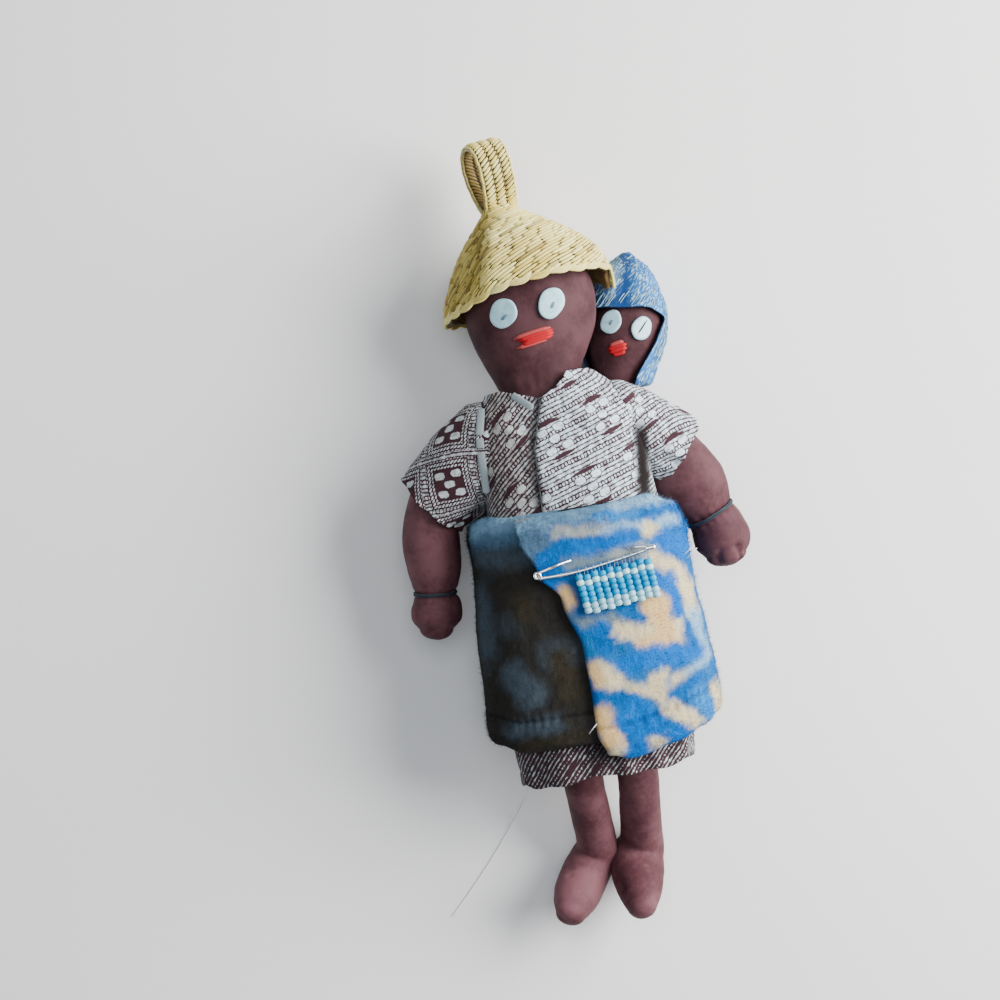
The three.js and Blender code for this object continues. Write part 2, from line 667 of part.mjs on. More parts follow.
function pinGeometry() {
  const lift = GAP + PIN_WIRE_RADIUS;
  const lower = wire(onFlap(PIN_LOWER, lift), PIN_WIRE_RADIUS, 6, 4);
  const upper = wire(onFlap(PIN_UPPER, lift), PIN_WIRE_RADIUS, 6, 6);
  const coilHeight = onFlap(PIN_LOWER, lift)[0][2];
  const coil = new THREE.TorusGeometry(PIN_COIL.radius, PIN_WIRE_RADIUS * 1.25, 6, 12);
  coil.translate(PIN_COIL.x, PIN_COIL.y, coilHeight);
  const clasp = new THREE.SphereGeometry(1, 8, 6);
  clasp.scale(PIN_CLASP.length / 2, PIN_CLASP.width / 2, PIN_CLASP.height / 2);
  clasp.translate(PIN_CLASP.x, PIN_CLASP.y, onFlap(PIN_LOWER, lift)[3][2]);
  return join(lower, upper, coil, clasp);
}

// The beads are woven side by side, so the tag is one sheet that swells at each column of beads.
function tagGeometry() {
  const leftHeight = flapHeight(TAG_TOP.x, TAG_TOP.y) + BEAD / 2 + GAP + 0.5;
  const reach = TAG_COLUMNS * BEAD;
  const rightHeight = flapHeight(TAG_TOP.x + reach, TAG_TOP.y) + BEAD / 2 + GAP + 1.4;
  const swell = (i, j) => (i % 2 ? 1 : 0.62) * (j % TAG_ROWS ? 1 : 0.62);
  const grid = (face) => Array.from({ length: 2 * TAG_COLUMNS + 1 }, (_, i) => (
    Array.from({ length: TAG_ROWS + 1 }, (_, j) => {
      const along = (i / 2) * BEAD;
      const down = j * BEAD_ROW;
      const middle = leftHeight + (rightHeight - leftHeight) * (along / reach);
      return [
        TAG_TOP.x + along + TAG_TOP.skew * down,
        TAG_TOP.y - down + TAG_TOP.slope * along,
        middle + (face * swell(i, j) * BEAD) / 2,
      ];
    })
  ));
  return sheetSolid(grid(1), grid(-1));
}

// Threads
function tieGeometry(stations, index) {
  const s = stations[index];
  const path = [stations[index - 1], stations[index + 1]].map((p) => new THREE.Vector3(p.x, p.y, p.z));
  const direction = path[1].clone().sub(path[0]).normalize();
  const ring = new THREE.TorusGeometry(s.w + 1.5 * GAP + TIE_RADIUS, TIE_RADIUS, 4, 14);
  const turn = new THREE.Quaternion().setFromUnitVectors(new THREE.Vector3(0, 0, 1), direction);
  return ring.applyQuaternion(turn).translate(s.x, s.y, s.z);
}

// The doll, piece by piece
const rightLeg = cut(legGeometry(RIGHT_SHIN, RIGHT_FOOT), legGeometry(LEFT_SHIN, LEFT_FOOT, GAP));

const doll = new THREE.Group();
doll.add(
  named("mother_head_and_torso", motherBodyGeometry(), SKIN),
  named("mother_right_arm", cut(armGeometry(RIGHT_ARM), motherBodyGeometry(GAP)), SKIN),
  named("mother_left_arm", cut(armGeometry(LEFT_ARM), motherBodyGeometry(GAP)), SKIN),
  named("mother_right_leg", rightLeg, SKIN),
  named("mother_left_leg", legGeometry(LEFT_SHIN, LEFT_FOOT), SKIN),
  eye("mother_right_eye", MOTHER_EYE_RADIUS, -8.1, 57.8, MOTHER_BODY),
  eye("mother_left_eye", MOTHER_EYE_RADIUS, 4.1, 58.1, MOTHER_BODY),
  motherMouth(),
  named("straw_hat", hatGeometry(), STRAW_YELLOW),
  named("dress", dressGeometry(), PRINT),
  named("blanket", blanketGeometry(), FLEECE_BLUE),
  named("safety_pin", pinGeometry(), STEEL),
  named("bead_tag", tagGeometry(), TURQUOISE),
  named("right_wrist_tie", tieGeometry(RIGHT_ARM, RIGHT_WRIST), GREY_THREAD),
  named("left_wrist_tie", tieGeometry(LEFT_ARM, LEFT_WRIST), GREY_THREAD),
  named("baby_head_and_body", cut(babyGeometry(), ...besideTheChild()), SKIN),
  named("baby_hood", hoodGeometry(), HOOD_BLUE),
  eye("baby_right_eye", BABY_EYE_RADIUS, 19.6, 51.8, BABY),
  eye("baby_left_eye", BABY_EYE_RADIUS, 26.8, 48.8, BABY),
  babyMouth(),
  named("loose_thread", wire(THREAD_ROUTE, THREAD_RADIUS, 8, 48), WHITE_THREAD),
);
doll.position.set(-CENTRE_X, -CENTRE_Y, 0);

const group = new THREE.Group();
group.add(doll);
export default group;
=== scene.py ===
import itertools
import math

import bpy
import numpy as np
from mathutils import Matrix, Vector
from mathutils.bvhtree import BVHTree


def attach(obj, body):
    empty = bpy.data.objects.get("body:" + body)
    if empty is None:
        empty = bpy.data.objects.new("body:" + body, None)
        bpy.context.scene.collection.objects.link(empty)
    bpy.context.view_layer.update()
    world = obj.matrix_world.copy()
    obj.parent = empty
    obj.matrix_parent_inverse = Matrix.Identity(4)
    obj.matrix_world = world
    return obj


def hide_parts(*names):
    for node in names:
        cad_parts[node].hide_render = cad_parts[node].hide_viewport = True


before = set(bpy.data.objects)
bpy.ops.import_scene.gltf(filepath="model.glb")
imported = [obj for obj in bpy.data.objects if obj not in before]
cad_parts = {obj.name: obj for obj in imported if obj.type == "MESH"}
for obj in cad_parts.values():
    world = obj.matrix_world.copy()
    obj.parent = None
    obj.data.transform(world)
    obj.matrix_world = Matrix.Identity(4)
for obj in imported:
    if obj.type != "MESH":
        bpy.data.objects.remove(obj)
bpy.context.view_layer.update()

# Sizes here are in millimetres in the doll's own frame: the origin at the middle of its waist,
# +Y to the hat, +X to the mother's left hand, +Z up out of its front. MM turns them into metres.
MM = 0.001
DOLL_ORIGIN = np.array([0.48, -0.35, 0.0])
rng = np.random.default_rng(11)

# Camera
CAMERA_FOOT = (-17.75, 11.22)
CAMERA_HEIGHT = 625.0
CAMERA_ROLL = -10.5
CAMERA_LENS = 83.08

# The loose thread: the same points as the solid's
THREAD_ROUTE = [
    (-24.2, -64.2, 17.6), (-24.6, -65.2, 16.3), (-24.9, -66.1, 14.2), (-25.3, -67.0, 11.5),
    (-25.7, -67.9, 8.4), (-26.1, -68.9, 5.2), (-26.8, -70.2, 2.4), (-28.1, -72.2, 0.8),
    (-30.2, -74.9, 0.32), (-33.0, -78.4, 0.3), (-36.2, -82.2, 0.3), (-39.6, -85.9, 0.3),
    (-43.2, -89.6, 0.3), (-46.4, -92.8, 0.3), (-48.9, -95.2, 0.3), (-51.0, -97.2, 0.3),
]
THREAD_RADIUS = 0.175
TIE_RADIUS = 0.24

# Sections of the stuffed and sewn forms: centre x, y, z, half width, half depth and squareness
MOTHER_BODY = [
    (-0.9, 73, 25.0, 9.5, 8.5, 2), (-0.8, 70, 24.6, 13.0, 11.2, 2), (-0.8, 65, 24.2, 16.4, 13.4, 2),
    (-0.9, 58, 24.0, 17.2, 14.0, 2), (-1.2, 52, 24.0, 16.2, 13.7, 2), (-1.8, 46, 24.5, 13.7, 12.5, 2),
    (-2.2, 40.5, 26.0, 11.0, 10.6, 2), (-2.2, 36, 27.5, 10.2, 9.6, 2), (-0.8, 31, 29.0, 14.5, 10.8, 2.3),
    (0.0, 25, 30.0, 19.0, 12.0, 2.4), (0.2, 14, 30.2, 19.6, 12.0, 2.4), (0.0, 2, 29.8, 20.0, 11.7, 2.4),
    (-0.6, -15, 29.5, 21.5, 11.5, 2.4), (-1.2, -32, 29.5, 22.0, 11.4, 2.4),
    (-1.6, -43, 29.2, 20.5, 10.4, 2.3),
]
BODICE = [
    (-2.2, 41, 26.0, 13.4, 13.0, 2), (-1.0, 36, 27.5, 17.2, 13.0, 2.2), (-0.3, 31, 29.0, 20.6, 13.6, 2.3),
    (0.2, 25, 30.0, 21.6, 13.9, 2.4), (0.4, 14, 30.2, 21.6, 13.8, 2.4), (0.2, 4, 29.8, 22.2, 13.0, 2.4),
    (-0.6, -15, 29.5, 23.7, 13.2, 2.4), (-1.2, -32, 29.5, 24.3, 13.1, 2.4),
    (-2.2, -50, 29.0, 23.8, 13.6, 2.3), (-3.0, -63, 28.0, 22.6, 14.6, 2.3),
]
RIGHT_SLEEVE = [
    (-13, 27.5, 29.0, 12.0, 11.4, 2), (-23, 22.4, 26.0, 12.0, 11.0, 2), (-30, 17.6, 23.5, 11.0, 10.2, 2),
    (-35.2, 13.8, 21.8, 10.2, 9.8, 2),
]
LEFT_SLEEVE = [
    (11, 27.5, 29.0, 11.5, 11.2, 2), (19, 23.2, 26.4, 10.8, 10.6, 2), (25.5, 19.2, 23.8, 10.0, 10.0, 2),
    (30.6, 15.2, 22.0, 9.4, 9.6, 2),
]
RIGHT_ARM = [
    (-24.0, 22.0, 25.6, 6.0, 6.0, 2), (-29.8, 18.4, 23.4, 6.8, 6.8, 2), (-35.6, 13.2, 21.5, 6.2, 6.6, 2),
    (-37.3, 5.0, 20.5, 7.6, 7.6, 2), (-37.9, -3.0, 19.8, 7.1, 7.2, 2), (-38.9, -9.6, 19.0, 5.6, 5.7, 2),
    (-39.2, -13.2, 18.6, 6.6, 6.4, 2), (-39.8, -16.6, 18.3, 6.5, 6.0, 2), (-40.2, -19.0, 18.1, 4.4, 4.6, 2),
]
LEFT_ARM = [
    (22.5, 22.4, 25.6, 6.0, 6.0, 2), (27.0, 18.6, 23.6, 6.8, 6.8, 2), (29.8, 12.4, 22.0, 8.4, 7.4, 2),
    (32.6, 5.4, 21.0, 9.2, 7.9, 2), (35.7, -2.2, 20.0, 6.7, 6.0, 2), (37.1, -5.8, 19.4, 7.1, 6.8, 2),
    (37.9, -10.2, 18.8, 7.4, 6.8, 2), (38.1, -13.6, 18.5, 5.4, 5.2, 2),
]
RIGHT_WRIST = 5
LEFT_WRIST = 4
RIGHT_SHIN = [
    (-8.8, -51.5, 26.0, 5.3, 5.5, 2), (-9.3, -59.0, 23.2, 5.3, 5.5, 2), (-9.6, -67.0, 20.0, 5.2, 5.3, 2),
    (-9.2, -76.0, 14.2, 5.2, 5.2, 2), (-8.9, -83.0, 9.0, 5.3, 5.2, 2), (-9.4, -88.3, 5.17, 5.5, 5.4, 2),
]
RIGHT_FOOT = [
    (-10.0, -87.2, 5.02, 6.0, 5.6, 2), (-13.9, -91.6, 9.6, 6.4, 5.5, 2), (-17.4, -95.8, 15.0, 6.0, 5.0, 2),
    (-19.6, -98.8, 18.6, 4.3, 3.8, 2),
]
LEFT_SHIN = [
    (5.6, -51.5, 26.0, 5.5, 5.6, 2), (5.2, -59.0, 23.2, 5.5, 5.6, 2), (4.6, -67.0, 20.0, 5.3, 5.4, 2),
    (3.8, -76.0, 14.2, 5.4, 5.5, 2), (3.2, -83.0, 9.0, 5.6, 5.7, 2), (2.6, -88.3, 5.2, 5.9, 5.7, 2),
]
LEFT_FOOT = [
    (1.8, -87.4, 5.0, 6.4, 5.8, 2), (0.3, -92.6, 10.2, 7.0, 5.8, 2), (-0.2, -97.2, 16.0, 5.7, 5.0, 2),
    (-0.6, -100.6, 19.8, 3.8, 3.6, 2),
]
BABY = [
    (24.3, 58.5, 9.9, 7.0, 6.6, 2), (23.9, 55.0, 10.4, 9.3, 8.3, 2), (23.2, 50.0, 10.6, 10.2, 9.0, 2),
    (22.2, 44.5, 10.6, 9.6, 8.7, 2), (20.6, 39.0, 10.0, 7.5, 7.4, 2), (19.2, 34.5, 9.6, 5.8, 5.4, 2),
    (17.0, 29.0, 8.8, 9.0, 5.6, 2), (13.0, 20.0, 8.7, 11.5, 5.8, 2), (8.5, 8.0, 8.7, 13.0, 5.8, 2),
    (4.5, -6.0, 8.7, 14.0, 5.8, 2), (1.5, -20.0, 8.7, 14.0, 5.8, 2), (0.0, -32.0, 8.7, 11.0, 5.2, 2),
]
HOOD = [
    (26.4, 68.9, 9.6, 2.8, 3.6, 2), (25.4, 66.4, 10.0, 6.3, 6.8, 2), (24.6, 62.5, 10.0, 9.2, 9.2, 2),
    (23.7, 57.0, 10.5, 11.3, 10.4, 2), (23.0, 51.0, 10.7, 12.2, 10.7, 2), (22.2, 45.0, 10.7, 11.6, 10.5, 2),
    (20.8, 39.5, 10.0, 10.2, 9.6, 2), (19.0, 34.0, 9.4, 8.8, 8.2, 2),
]
FACE_OPENING = [
    (11.0, 55.6), (15.9, 56.4), (23.7, 55.6), (30.6, 54.0), (34.2, 50.8), (31.7, 46.8),
    (29.2, 43.0), (24.8, 37.8), (21.2, 32.0), (13.0, 32.0), (10.6, 44.0),
]
HAT = [
    (-0.9, 60.9, 20.6, 22.3, 20.6, 2), (-1.0, 64.0, 20.7, 21.7, 20.0, 2), (-0.8, 70.0, 21.0, 19.2, 17.8, 2),
    (-1.6, 75.5, 21.3, 15.2, 14.2, 2), (-2.6, 80.5, 21.0, 10.0, 10.2, 2), (-3.6, 84.2, 20.7, 6.4, 6.6, 2),
    (-3.9, 87.2, 20.5, 4.3, 4.4, 2),
]
HAT_LEAN = (0.11, 0.09, 0.004)
HOOD_MIDDLE = (22.6, 50.0, 11.6)
HOOD_FOLD = ([57, 69.4], [23.3, 27.4])
HAT_SCALLOPS = 26
HAT_LOOP = {"start": (-4.0, 86.5, 20.5), "length": 16.4, "half_depth": 6.6, "width": 9.2}
HAT_LOOP_TURN = math.radians(16)
HAT_LOOP_LEAN = math.radians(7)
BLANKET = [
    (-1.4, -60, 23.0, 30.2, 24.6, 3), (-1.4, -50, 23.2, 30.6, 25.0, 3), (-1.0, -39, 23.4, 30.3, 25.2, 3),
    (-1.1, -27, 23.4, 29.6, 25.2, 3), (-0.8, -15, 23.4, 28.8, 25.2, 3), (-0.5, -4, 23.2, 28.5, 25.0, 3),
    (-0.8, 3, 23.0, 27.7, 25.2, 3), (0.4, 10, 23.0, 26.2, 25.2, 3), (5.0, 19, 22.6, 24.5, 24.0, 3),
    (8.0, 28, 22.6, 24.0, 24.0, 3),
]
BLANKET_TURN = 402
SHEET_LENGTH = 215.0
SHEET_HEIGHT = 62.0
SHEET_HEM = 8.3
BLANKET_TOP = [
    (-60, 7.2), (-20, 5.6), (10, 5.6), (38, 6.2), (62, 3.6), (90, -2.0), (122, 6.0), (150, 25.0),
    (205, 26.0), (236, 8.0), (270, 6.4), (298, 7.6), (330, 6.4), (400, 5.4),
]
BLANKET_BOTTOM = [
    (-4, -52.0), (0, -57.2), (3, -58.4), (25, -56.6), (48, -54.2), (70, -51.8), (95, -49.2),
    (180, -49.0), (262, -47.6), (296, -50.6), (325, -53.2), (400, -53.6),
]
FLAP_EDGE = [
    (-58.6, 1.8), (-56.2, -0.6), (-51, -1.9), (-29, -2.0), (-16, -6.3), (-9, -14.7), (0, -22), (8, -24),
]
FLEECE = 2.0
LAYER_GAP = 0.3
CLOTH = 0.5
HOOD_CLOTH = 1.0
PIN_WIRE = 0.45
BEAD = 1.95
BEAD_ROW = 1.42
TAG_COLUMNS = 10
TAG_TOP = {"x": -2.9, "y": -10.9, "slope": 0.068, "skew": 0.09}


# Numbers
def blend(stations, t):
    """The stations read smoothly at t, from 0 to the last index."""
    s = np.asarray(stations, float)
    last = len(s) - 1
    t = np.clip(np.asarray(t, float), 0, last)
    i = np.minimum(np.floor(t).astype(int), last - 1)
    f = (t - i)[..., None]
    a, b = s[i], s[i + 1]
    slope_a = (b - s[np.maximum(i - 1, 0)]) / 2
    slope_b = (s[np.minimum(i + 2, last)] - a) / 2
    cubed = 2 * (a - b) + slope_a + slope_b
    squared = cubed * f + 3 * (b - a) - 2 * slope_a - slope_b
    return squared * f * f + slope_a * f + a


def section_at(stations, y):
    """The section of a form at a height along the doll."""
    t = np.linspace(0, len(stations) - 1, 600)
    heights = blend(stations, t)[:, 1]
    if heights[0] > heights[-1]:
        t, heights = t[::-1], heights[::-1]
    return blend(stations, np.interp(y, heights, t))


def read_marks(marks, position):
    """Smooth reading between marks of (position, value)."""
    marks = np.asarray(marks, float)
    at = np.clip(position, marks[0, 0], marks[-1, 0])
    i = np.clip(np.searchsorted(marks[:, 0], at, side="left") - 1, 0, len(marks) - 2)
    f = (at - marks[i, 0]) / (marks[i + 1, 0] - marks[i, 0])
    return marks[i, 1] + (marks[i + 1, 1] - marks[i, 1]) * f * f * (3 - 2 * f)


def section_point(angle, w, d, n):
    """A point of a section, across and deep, from half width, half depth and squareness."""
    s, c = np.sin(angle), np.cos(angle)
    return w * np.sign(s) * np.abs(s) ** (2 / n), d * np.sign(c) * np.abs(c) ** (2 / n)


def unit(v):
    """Directions of length 1."""
    return v / np.maximum(np.linalg.norm(v, axis=-1, keepdims=True), 1e-9)


def noise3(points, size, seed=0):
    """Smooth noise from -1 to 1, in blobs about size across."""
    p = np.asarray(points, float) / size + seed * 17.31
    cell = np.floor(p).astype(np.int64)
    f = p - cell
    f = f * f * (3 - 2 * f)
    total = np.zeros(p.shape[:-1])
    for corner in itertools.product((0, 1), repeat=3):
        c = cell + np.array(corner)
        h = (c[..., 0] * 73856093) ^ (c[..., 1] * 19349663) ^ (c[..., 2] * 83492791)
        h = ((h ^ (h >> 13)) * 1274126177) & 0x7FFFFFFF
        h = (h ^ (h >> 15)) & 0xFFFF
        weight = np.prod(np.where(np.array(corner) == 1, f, 1 - f), axis=-1)
        total += weight * (h / 32767.5 - 1)
    return total


def rough(points, size, seed=0, octaves=3):
    """Noise with finer noise on it."""
    return sum(noise3(points, size / 2 ** k, seed + k) / 2 ** k for k in range(octaves)) / 1.6


def smooth_step(low, high, x):
    """0 at low and 1 at high, smoothly between."""
    f = np.clip((x - low) / (high - low), 0, 1)
    return f * f * (3 - 2 * f)


def bell(off, width):
    """A soft bump of height 1, from how far off its middle a place is."""
    return np.exp(-((off / width) ** 2))


def full_turn(count):
    """Angles all round, without the last one that would repeat the first."""
    return np.linspace(0, 2 * math.pi, count, endpoint=False)


def lengths_along(line):
    """Lengths along a line of points, from its first one."""
    return np.concatenate([[0], np.cumsum(np.linalg.norm(np.diff(line, axis=0), axis=-1))])


def from_front(angle):
    """Angles in degrees from -180 to 180, 0 at the front."""
    return np.degrees((np.asarray(angle) + math.pi) % (2 * math.pi) - math.pi)


def axes_across(along):
    """Two directions square to a line's direction: to its side and up."""
    side = unit(np.cross(along, (0, 0, 1)))
    return side, np.cross(side, along)


def to_row(points):
    """Points in doll millimetres, in the row's frame and in metres."""
    return (np.asarray(points, float) + DOLL_ORIGIN) * MM


def curve_through(points, count):
    """Points of a smooth curve through the given ones."""
    p = np.asarray(points, float)
    t = np.linspace(0, len(p) - 1, count)
    return blend(p, t)


# Forms
DOME_STEPS = 8


def loft(stations, rings, sides, limb=False, start_dome=0.0, end_dome=0.0):
    """Points[ring, side] of a form through its stations, as the solid has it."""
    last = len(stations) - 1
    bow = np.linspace(0.03, 1, DOME_STEPS, endpoint=False) * math.pi / 2
    t, scale, push = [np.linspace(0, last, rings + 1)], [np.ones(rings + 1)], [np.zeros(rings + 1)]
    if start_dome:
        t.insert(0, np.zeros(DOME_STEPS))
        scale.insert(0, np.sin(bow))
        push.insert(0, -start_dome * np.cos(bow))
    if end_dome:
        t.append(np.full(DOME_STEPS, last))
        scale.append(np.sin(bow[::-1]))
        push.append(end_dome * np.cos(bow[::-1]))
    t, scale, push = np.concatenate(t), np.concatenate(scale), np.concatenate(push)
    s = blend(stations, t)
    ahead, behind = np.minimum(t + 0.02, last), np.maximum(t - 0.02, 0)
    path = unit(blend(stations, ahead)[:, :3] - blend(stations, behind)[:, :3])
    along = path if limb else np.stack([0 * t, np.sign(path[:, 1]), 0 * t], -1)
    side, up = axes_across(along)
    centre = s[:, :3] + path * push[:, None]
    angle = full_turn(sides)
    w, d, n = (s[:, 3] * scale)[:, None], (s[:, 4] * scale)[:, None], s[:, 5][:, None]
    across, deep = section_point(angle[None, :], w, d, n)
    return centre[:, None] + side[:, None] * across[..., None] + up[:, None] * deep[..., None]


def outward_normals(points):
    """The normals of a grid that is closed round its sides, pointing away from its middle line."""
    du = np.roll(points, -1, 1) - np.roll(points, 1, 1)
    dv = np.gradient(points, axis=0)
    normals = unit(np.cross(du, dv))
    middle = points.mean(axis=1, keepdims=True)
    flip = np.sign(((points - middle) * normals).sum(-1).mean())
    return normals * (flip if flip else 1)


def swell(points, amount):
    """The grid moved along its own normals."""
    return points + outward_normals(points) * np.asarray(amount)[..., None]


# Meshes
def new_object(name, points, faces, material, uv=None, uv_index=None, colour=None):
    """A mesh object from points in doll millimetres and faces of three or four corners."""
    mesh = bpy.data.meshes.new(name)
    faces = [np.asarray(f, np.int64) for f in faces if len(f)]
    corners = np.concatenate([f.ravel() for f in faces])
    totals = np.concatenate([np.full(len(f), f.shape[1]) for f in faces])
    co = to_row(points)
    mesh.vertices.add(len(co))
    mesh.vertices.foreach_set("co", co.astype(np.float32).ravel())
    mesh.loops.add(len(corners))
    mesh.loops.foreach_set("vertex_index", corners.astype(np.int32))
    mesh.polygons.add(len(totals))
    mesh.polygons.foreach_set("loop_start", np.concatenate([[0], np.cumsum(totals)[:-1]]).astype(np.int32))
    mesh.polygons.foreach_set("use_smooth", np.full(len(totals), True))
    mesh.update(calc_edges=True)
    if uv is not None:
        index = corners if uv_index is None else np.concatenate([np.asarray(f).ravel() for f in uv_index])
        layer = mesh.uv_layers.new(name="cloth")
        layer.data.foreach_set("uv", np.asarray(uv, np.float32)[index].ravel())
    if colour is not None:
        attribute = mesh.color_attributes.new("tone", "FLOAT_COLOR", "POINT")
        rgba = np.concatenate([colour, np.ones((len(colour), 1))], axis=1)
        attribute.data.foreach_set("color", rgba.astype(np.float32).ravel())
    mesh.validate()
    mesh.materials.append(material)
    made = bpy.data.objects.new(name, mesh)
    bpy.context.scene.collection.objects.link(made)
    return made


def face_outward(obj):
    """Turns all faces over if the closed mesh encloses a negative volume."""
    mesh = obj.data
    mesh.calc_loop_triangles()
    co = np.zeros(len(mesh.vertices) * 3)
    mesh.vertices.foreach_get("co", co)
    tri = np.zeros(len(mesh.loop_triangles) * 3, np.int32)
    mesh.loop_triangles.foreach_get("vertices", tri)
    a, b, c = co.reshape(-1, 3)[tri.reshape(-1, 3)].transpose(1, 0, 2)
    if (a * np.cross(b, c)).sum() < 0:
        mesh.flip_normals()
    return obj


def tube_faces(rings, sides, wrap_rings=False):
    """Quads of a grid that is closed round its sides, and the same for its uv grid."""
    i, j = np.meshgrid(np.arange(rings if wrap_rings else rings - 1), np.arange(sides), indexing="ij")
    i, j = i.ravel(), j.ravel()
    i2, j2 = (i + 1) % rings, (j + 1) % sides
    quads = np.stack([i * sides + j, i * sides + j2, i2 * sides + j2, i2 * sides + j], -1)
    w = sides + 1
    uv_quads = np.stack([i * w + j, i * w + j + 1, (i + 1) * w + j + 1, (i + 1) * w + j], -1)
    return quads, uv_quads


def lengths_round(points):
    """Lengths round each ring of a grid, from its first point back to it."""
    loop = np.concatenate([points, points[:, :1]], axis=1)
    step = np.linalg.norm(np.diff(loop, axis=1), axis=-1)
    return np.concatenate([np.zeros((len(points), 1)), np.cumsum(step, axis=1)], axis=1)


def tube_uv(points):
    """Cloth coordinates in millimetres: round the form from its front, and along it."""
    round_it = lengths_round(points)
    along = lengths_along(points.mean(axis=1))
    return np.stack([round_it, np.broadcast_to(along[:, None], round_it.shape)], -1).reshape(-1, 2)


def pole_fans(rings, sides):
    """Triangles from the first and the last ring of a grid to the two poles listed after it."""
    first = rings * sides
    base = first - sides
    k = np.arange(sides)
    k2 = (k + 1) % sides
    return np.concatenate([
        np.stack([np.full(sides, first), k2, k], -1),
        np.stack([np.full(sides, first + 1), base + k, base + k2], -1),
    ])


def with_poles(points):
    """A grid's points, and after them the middle of its first and its last ring."""
    poles = np.stack([points[0].mean(axis=0), points[-1].mean(axis=0)])
    return np.concatenate([points.reshape(-1, 3), poles])


def closed_form(name, points, material, colour=None):
    """A grid closed round its sides, with a pole at each end."""
    rings, sides = points.shape[:2]
    quads, uv_quads = tube_faces(rings, sides)
    k = np.arange(sides)
    uv_fans = np.concatenate([
        np.stack([k, k + 1, k], -1),
        np.stack([(rings - 1) * (sides + 1) + k] * 3, -1),
    ])
    faces = [quads, pole_fans(rings, sides)]
    colour = None if colour is None else with_poles(colour)
    made = new_object(name, with_poles(points), faces, material, tube_uv(points), [uv_quads, uv_fans], colour)
    return face_outward(made)


def cloth_tube(outer, thickness):
    """Rows that run down the outside of a cloth tube, round its hem and up the inside."""
    normals = outward_normals(outer)
    inner = outer - normals * thickness
    ends = []
    for edge, before in ((-1, -2), (0, 1)):
        lip = unit(outer[edge] - outer[before])
        for share in (0.25, 0.5, 0.75):
            bow = math.sin(share * math.pi) * thickness * 0.55
            from_outer = share if edge == -1 else 1 - share
            ends.append(outer[edge] * (1 - from_outer) + inner[edge] * from_outer + lip * bow)
    bottom, top = ends[:3], ends[3:]
    return np.concatenate([outer, np.stack(bottom), inner[::-1], np.stack(top)])


def cloth_shell(name, outer, thickness, material, print_at, tone):
    """A closed thin-walled tube whose print runs on the outside and inside alike."""
    rows = cloth_tube(outer, thickness)
    rings, sides = rows.shape[:2]
    quads, uv_quads = tube_faces(rings, sides, wrap_rings=True)
    count = len(outer)
    order = list(range(count)) + [count - 1] * 3 + list(range(count))[::-1] + [0] * 3
    uv = print_at(*cloth_arcs(outer))[order + [0]]
    shade = tone[order].reshape(-1, 3)
    made = new_object(name, rows.reshape(-1, 3), [quads], material, uv.reshape(-1, 2), [uv_quads], shade)
    return face_outward(made)


def cloth_arcs(outer):
    """Lengths on the cloth in millimetres: round the form from its front line, and along that line."""
    round_it = lengths_round(outer)
    half = outer.shape[1] // 2
    round_it = np.where(np.arange(outer.shape[1] + 1)[None] > half, round_it - round_it[:, -1:], round_it)
    return round_it, np.broadcast_to(lengths_along(outer[:, 0])[:, None], round_it.shape)


def print_grid(x, y, centre, degrees, cell):
    """Print coordinates whose lines run at an angle, with a cell of the pattern round the centre."""
    c, s = math.cos(math.radians(degrees)), math.sin(math.radians(degrees))
    x, y = x - centre[0], y - centre[1]
    return np.stack([x * c + y * s + cell[0] / 2, -x * s + y * c + cell[1] / 2], -1)


def ring_round(side, up, sides):
    """Unit rings of a tube: for each place on its line, a circle in the plane of side and up."""
    angle = full_turn(sides)
    return side[:, None] * np.cos(angle)[None, :, None] + up[:, None] * np.sin(angle)[None, :, None]


def wire_mesh(points, radius, sides):
    """Points and faces of a round wire along a line of points. The radius may change along it."""
    p = np.asarray(points, float)
    r = np.broadcast_to(np.asarray(radius, float), (len(p),))
    path = unit(np.gradient(p, axis=0))
    side = np.zeros_like(p)
    previous = np.array([0.0, 0.0, 1.0]) if abs(path[0, 2]) < 0.9 else np.array([1.0, 0.0, 0.0])
    for i, t in enumerate(path):
        previous = previous - t * (previous @ t)
        previous = previous / max(np.linalg.norm(previous), 1e-9)
        side[i] = previous
    grid = p[:, None] + ring_round(side, np.cross(path, side), sides) * r[:, None, None]
    tips = np.stack([p[0] - path[0] * r[0] * 0.6, p[-1] + path[-1] * r[-1] * 0.6])
    quads, _ = tube_faces(len(p), sides)
    return np.concatenate([grid.reshape(-1, 3), tips]), quads, pole_fans(len(p), sides)


class Bundle:
    """Many small meshes gathered into one object, each with its own tone."""

    def __init__(self):
        self.points, self.quads, self.threes, self.tones, self.uvs, self.count = [], [], [], [], [], 0

    def add(self, points, quads, threes, tone=(1, 1, 1), uv=None):
        """Adds one small mesh of quads and triangles."""
        self.points.append(points)
        self.quads.append(quads + self.count)
        if len(threes):
            self.threes.append(threes + self.count)
        self.tones.append(np.broadcast_to(np.asarray(tone, float), (len(points), 3)))
        self.uvs.append(np.zeros((len(points), 2)) if uv is None else uv)
        self.count += len(points)

    def wire(self, points, radius, sides, tone=(1, 1, 1)):
        """Adds a round wire along a line of points."""
        made, quads, fans = wire_mesh(points, radius, sides)
        along = np.repeat(np.linspace(0, 1, len(points)) * len(points), sides)
        uv = np.zeros((len(made), 2))
        uv[: len(along), 1] = along
        self.add(made, quads, fans, tone, uv)

    def build(self, name, material):
        """Makes one object of all that was added."""
        faces = [np.concatenate(kind) for kind in (self.quads, self.threes) if kind]
        return new_object(name, np.concatenate(self.points), faces, material,
                          np.concatenate(self.uvs), None, np.concatenate(self.tones))


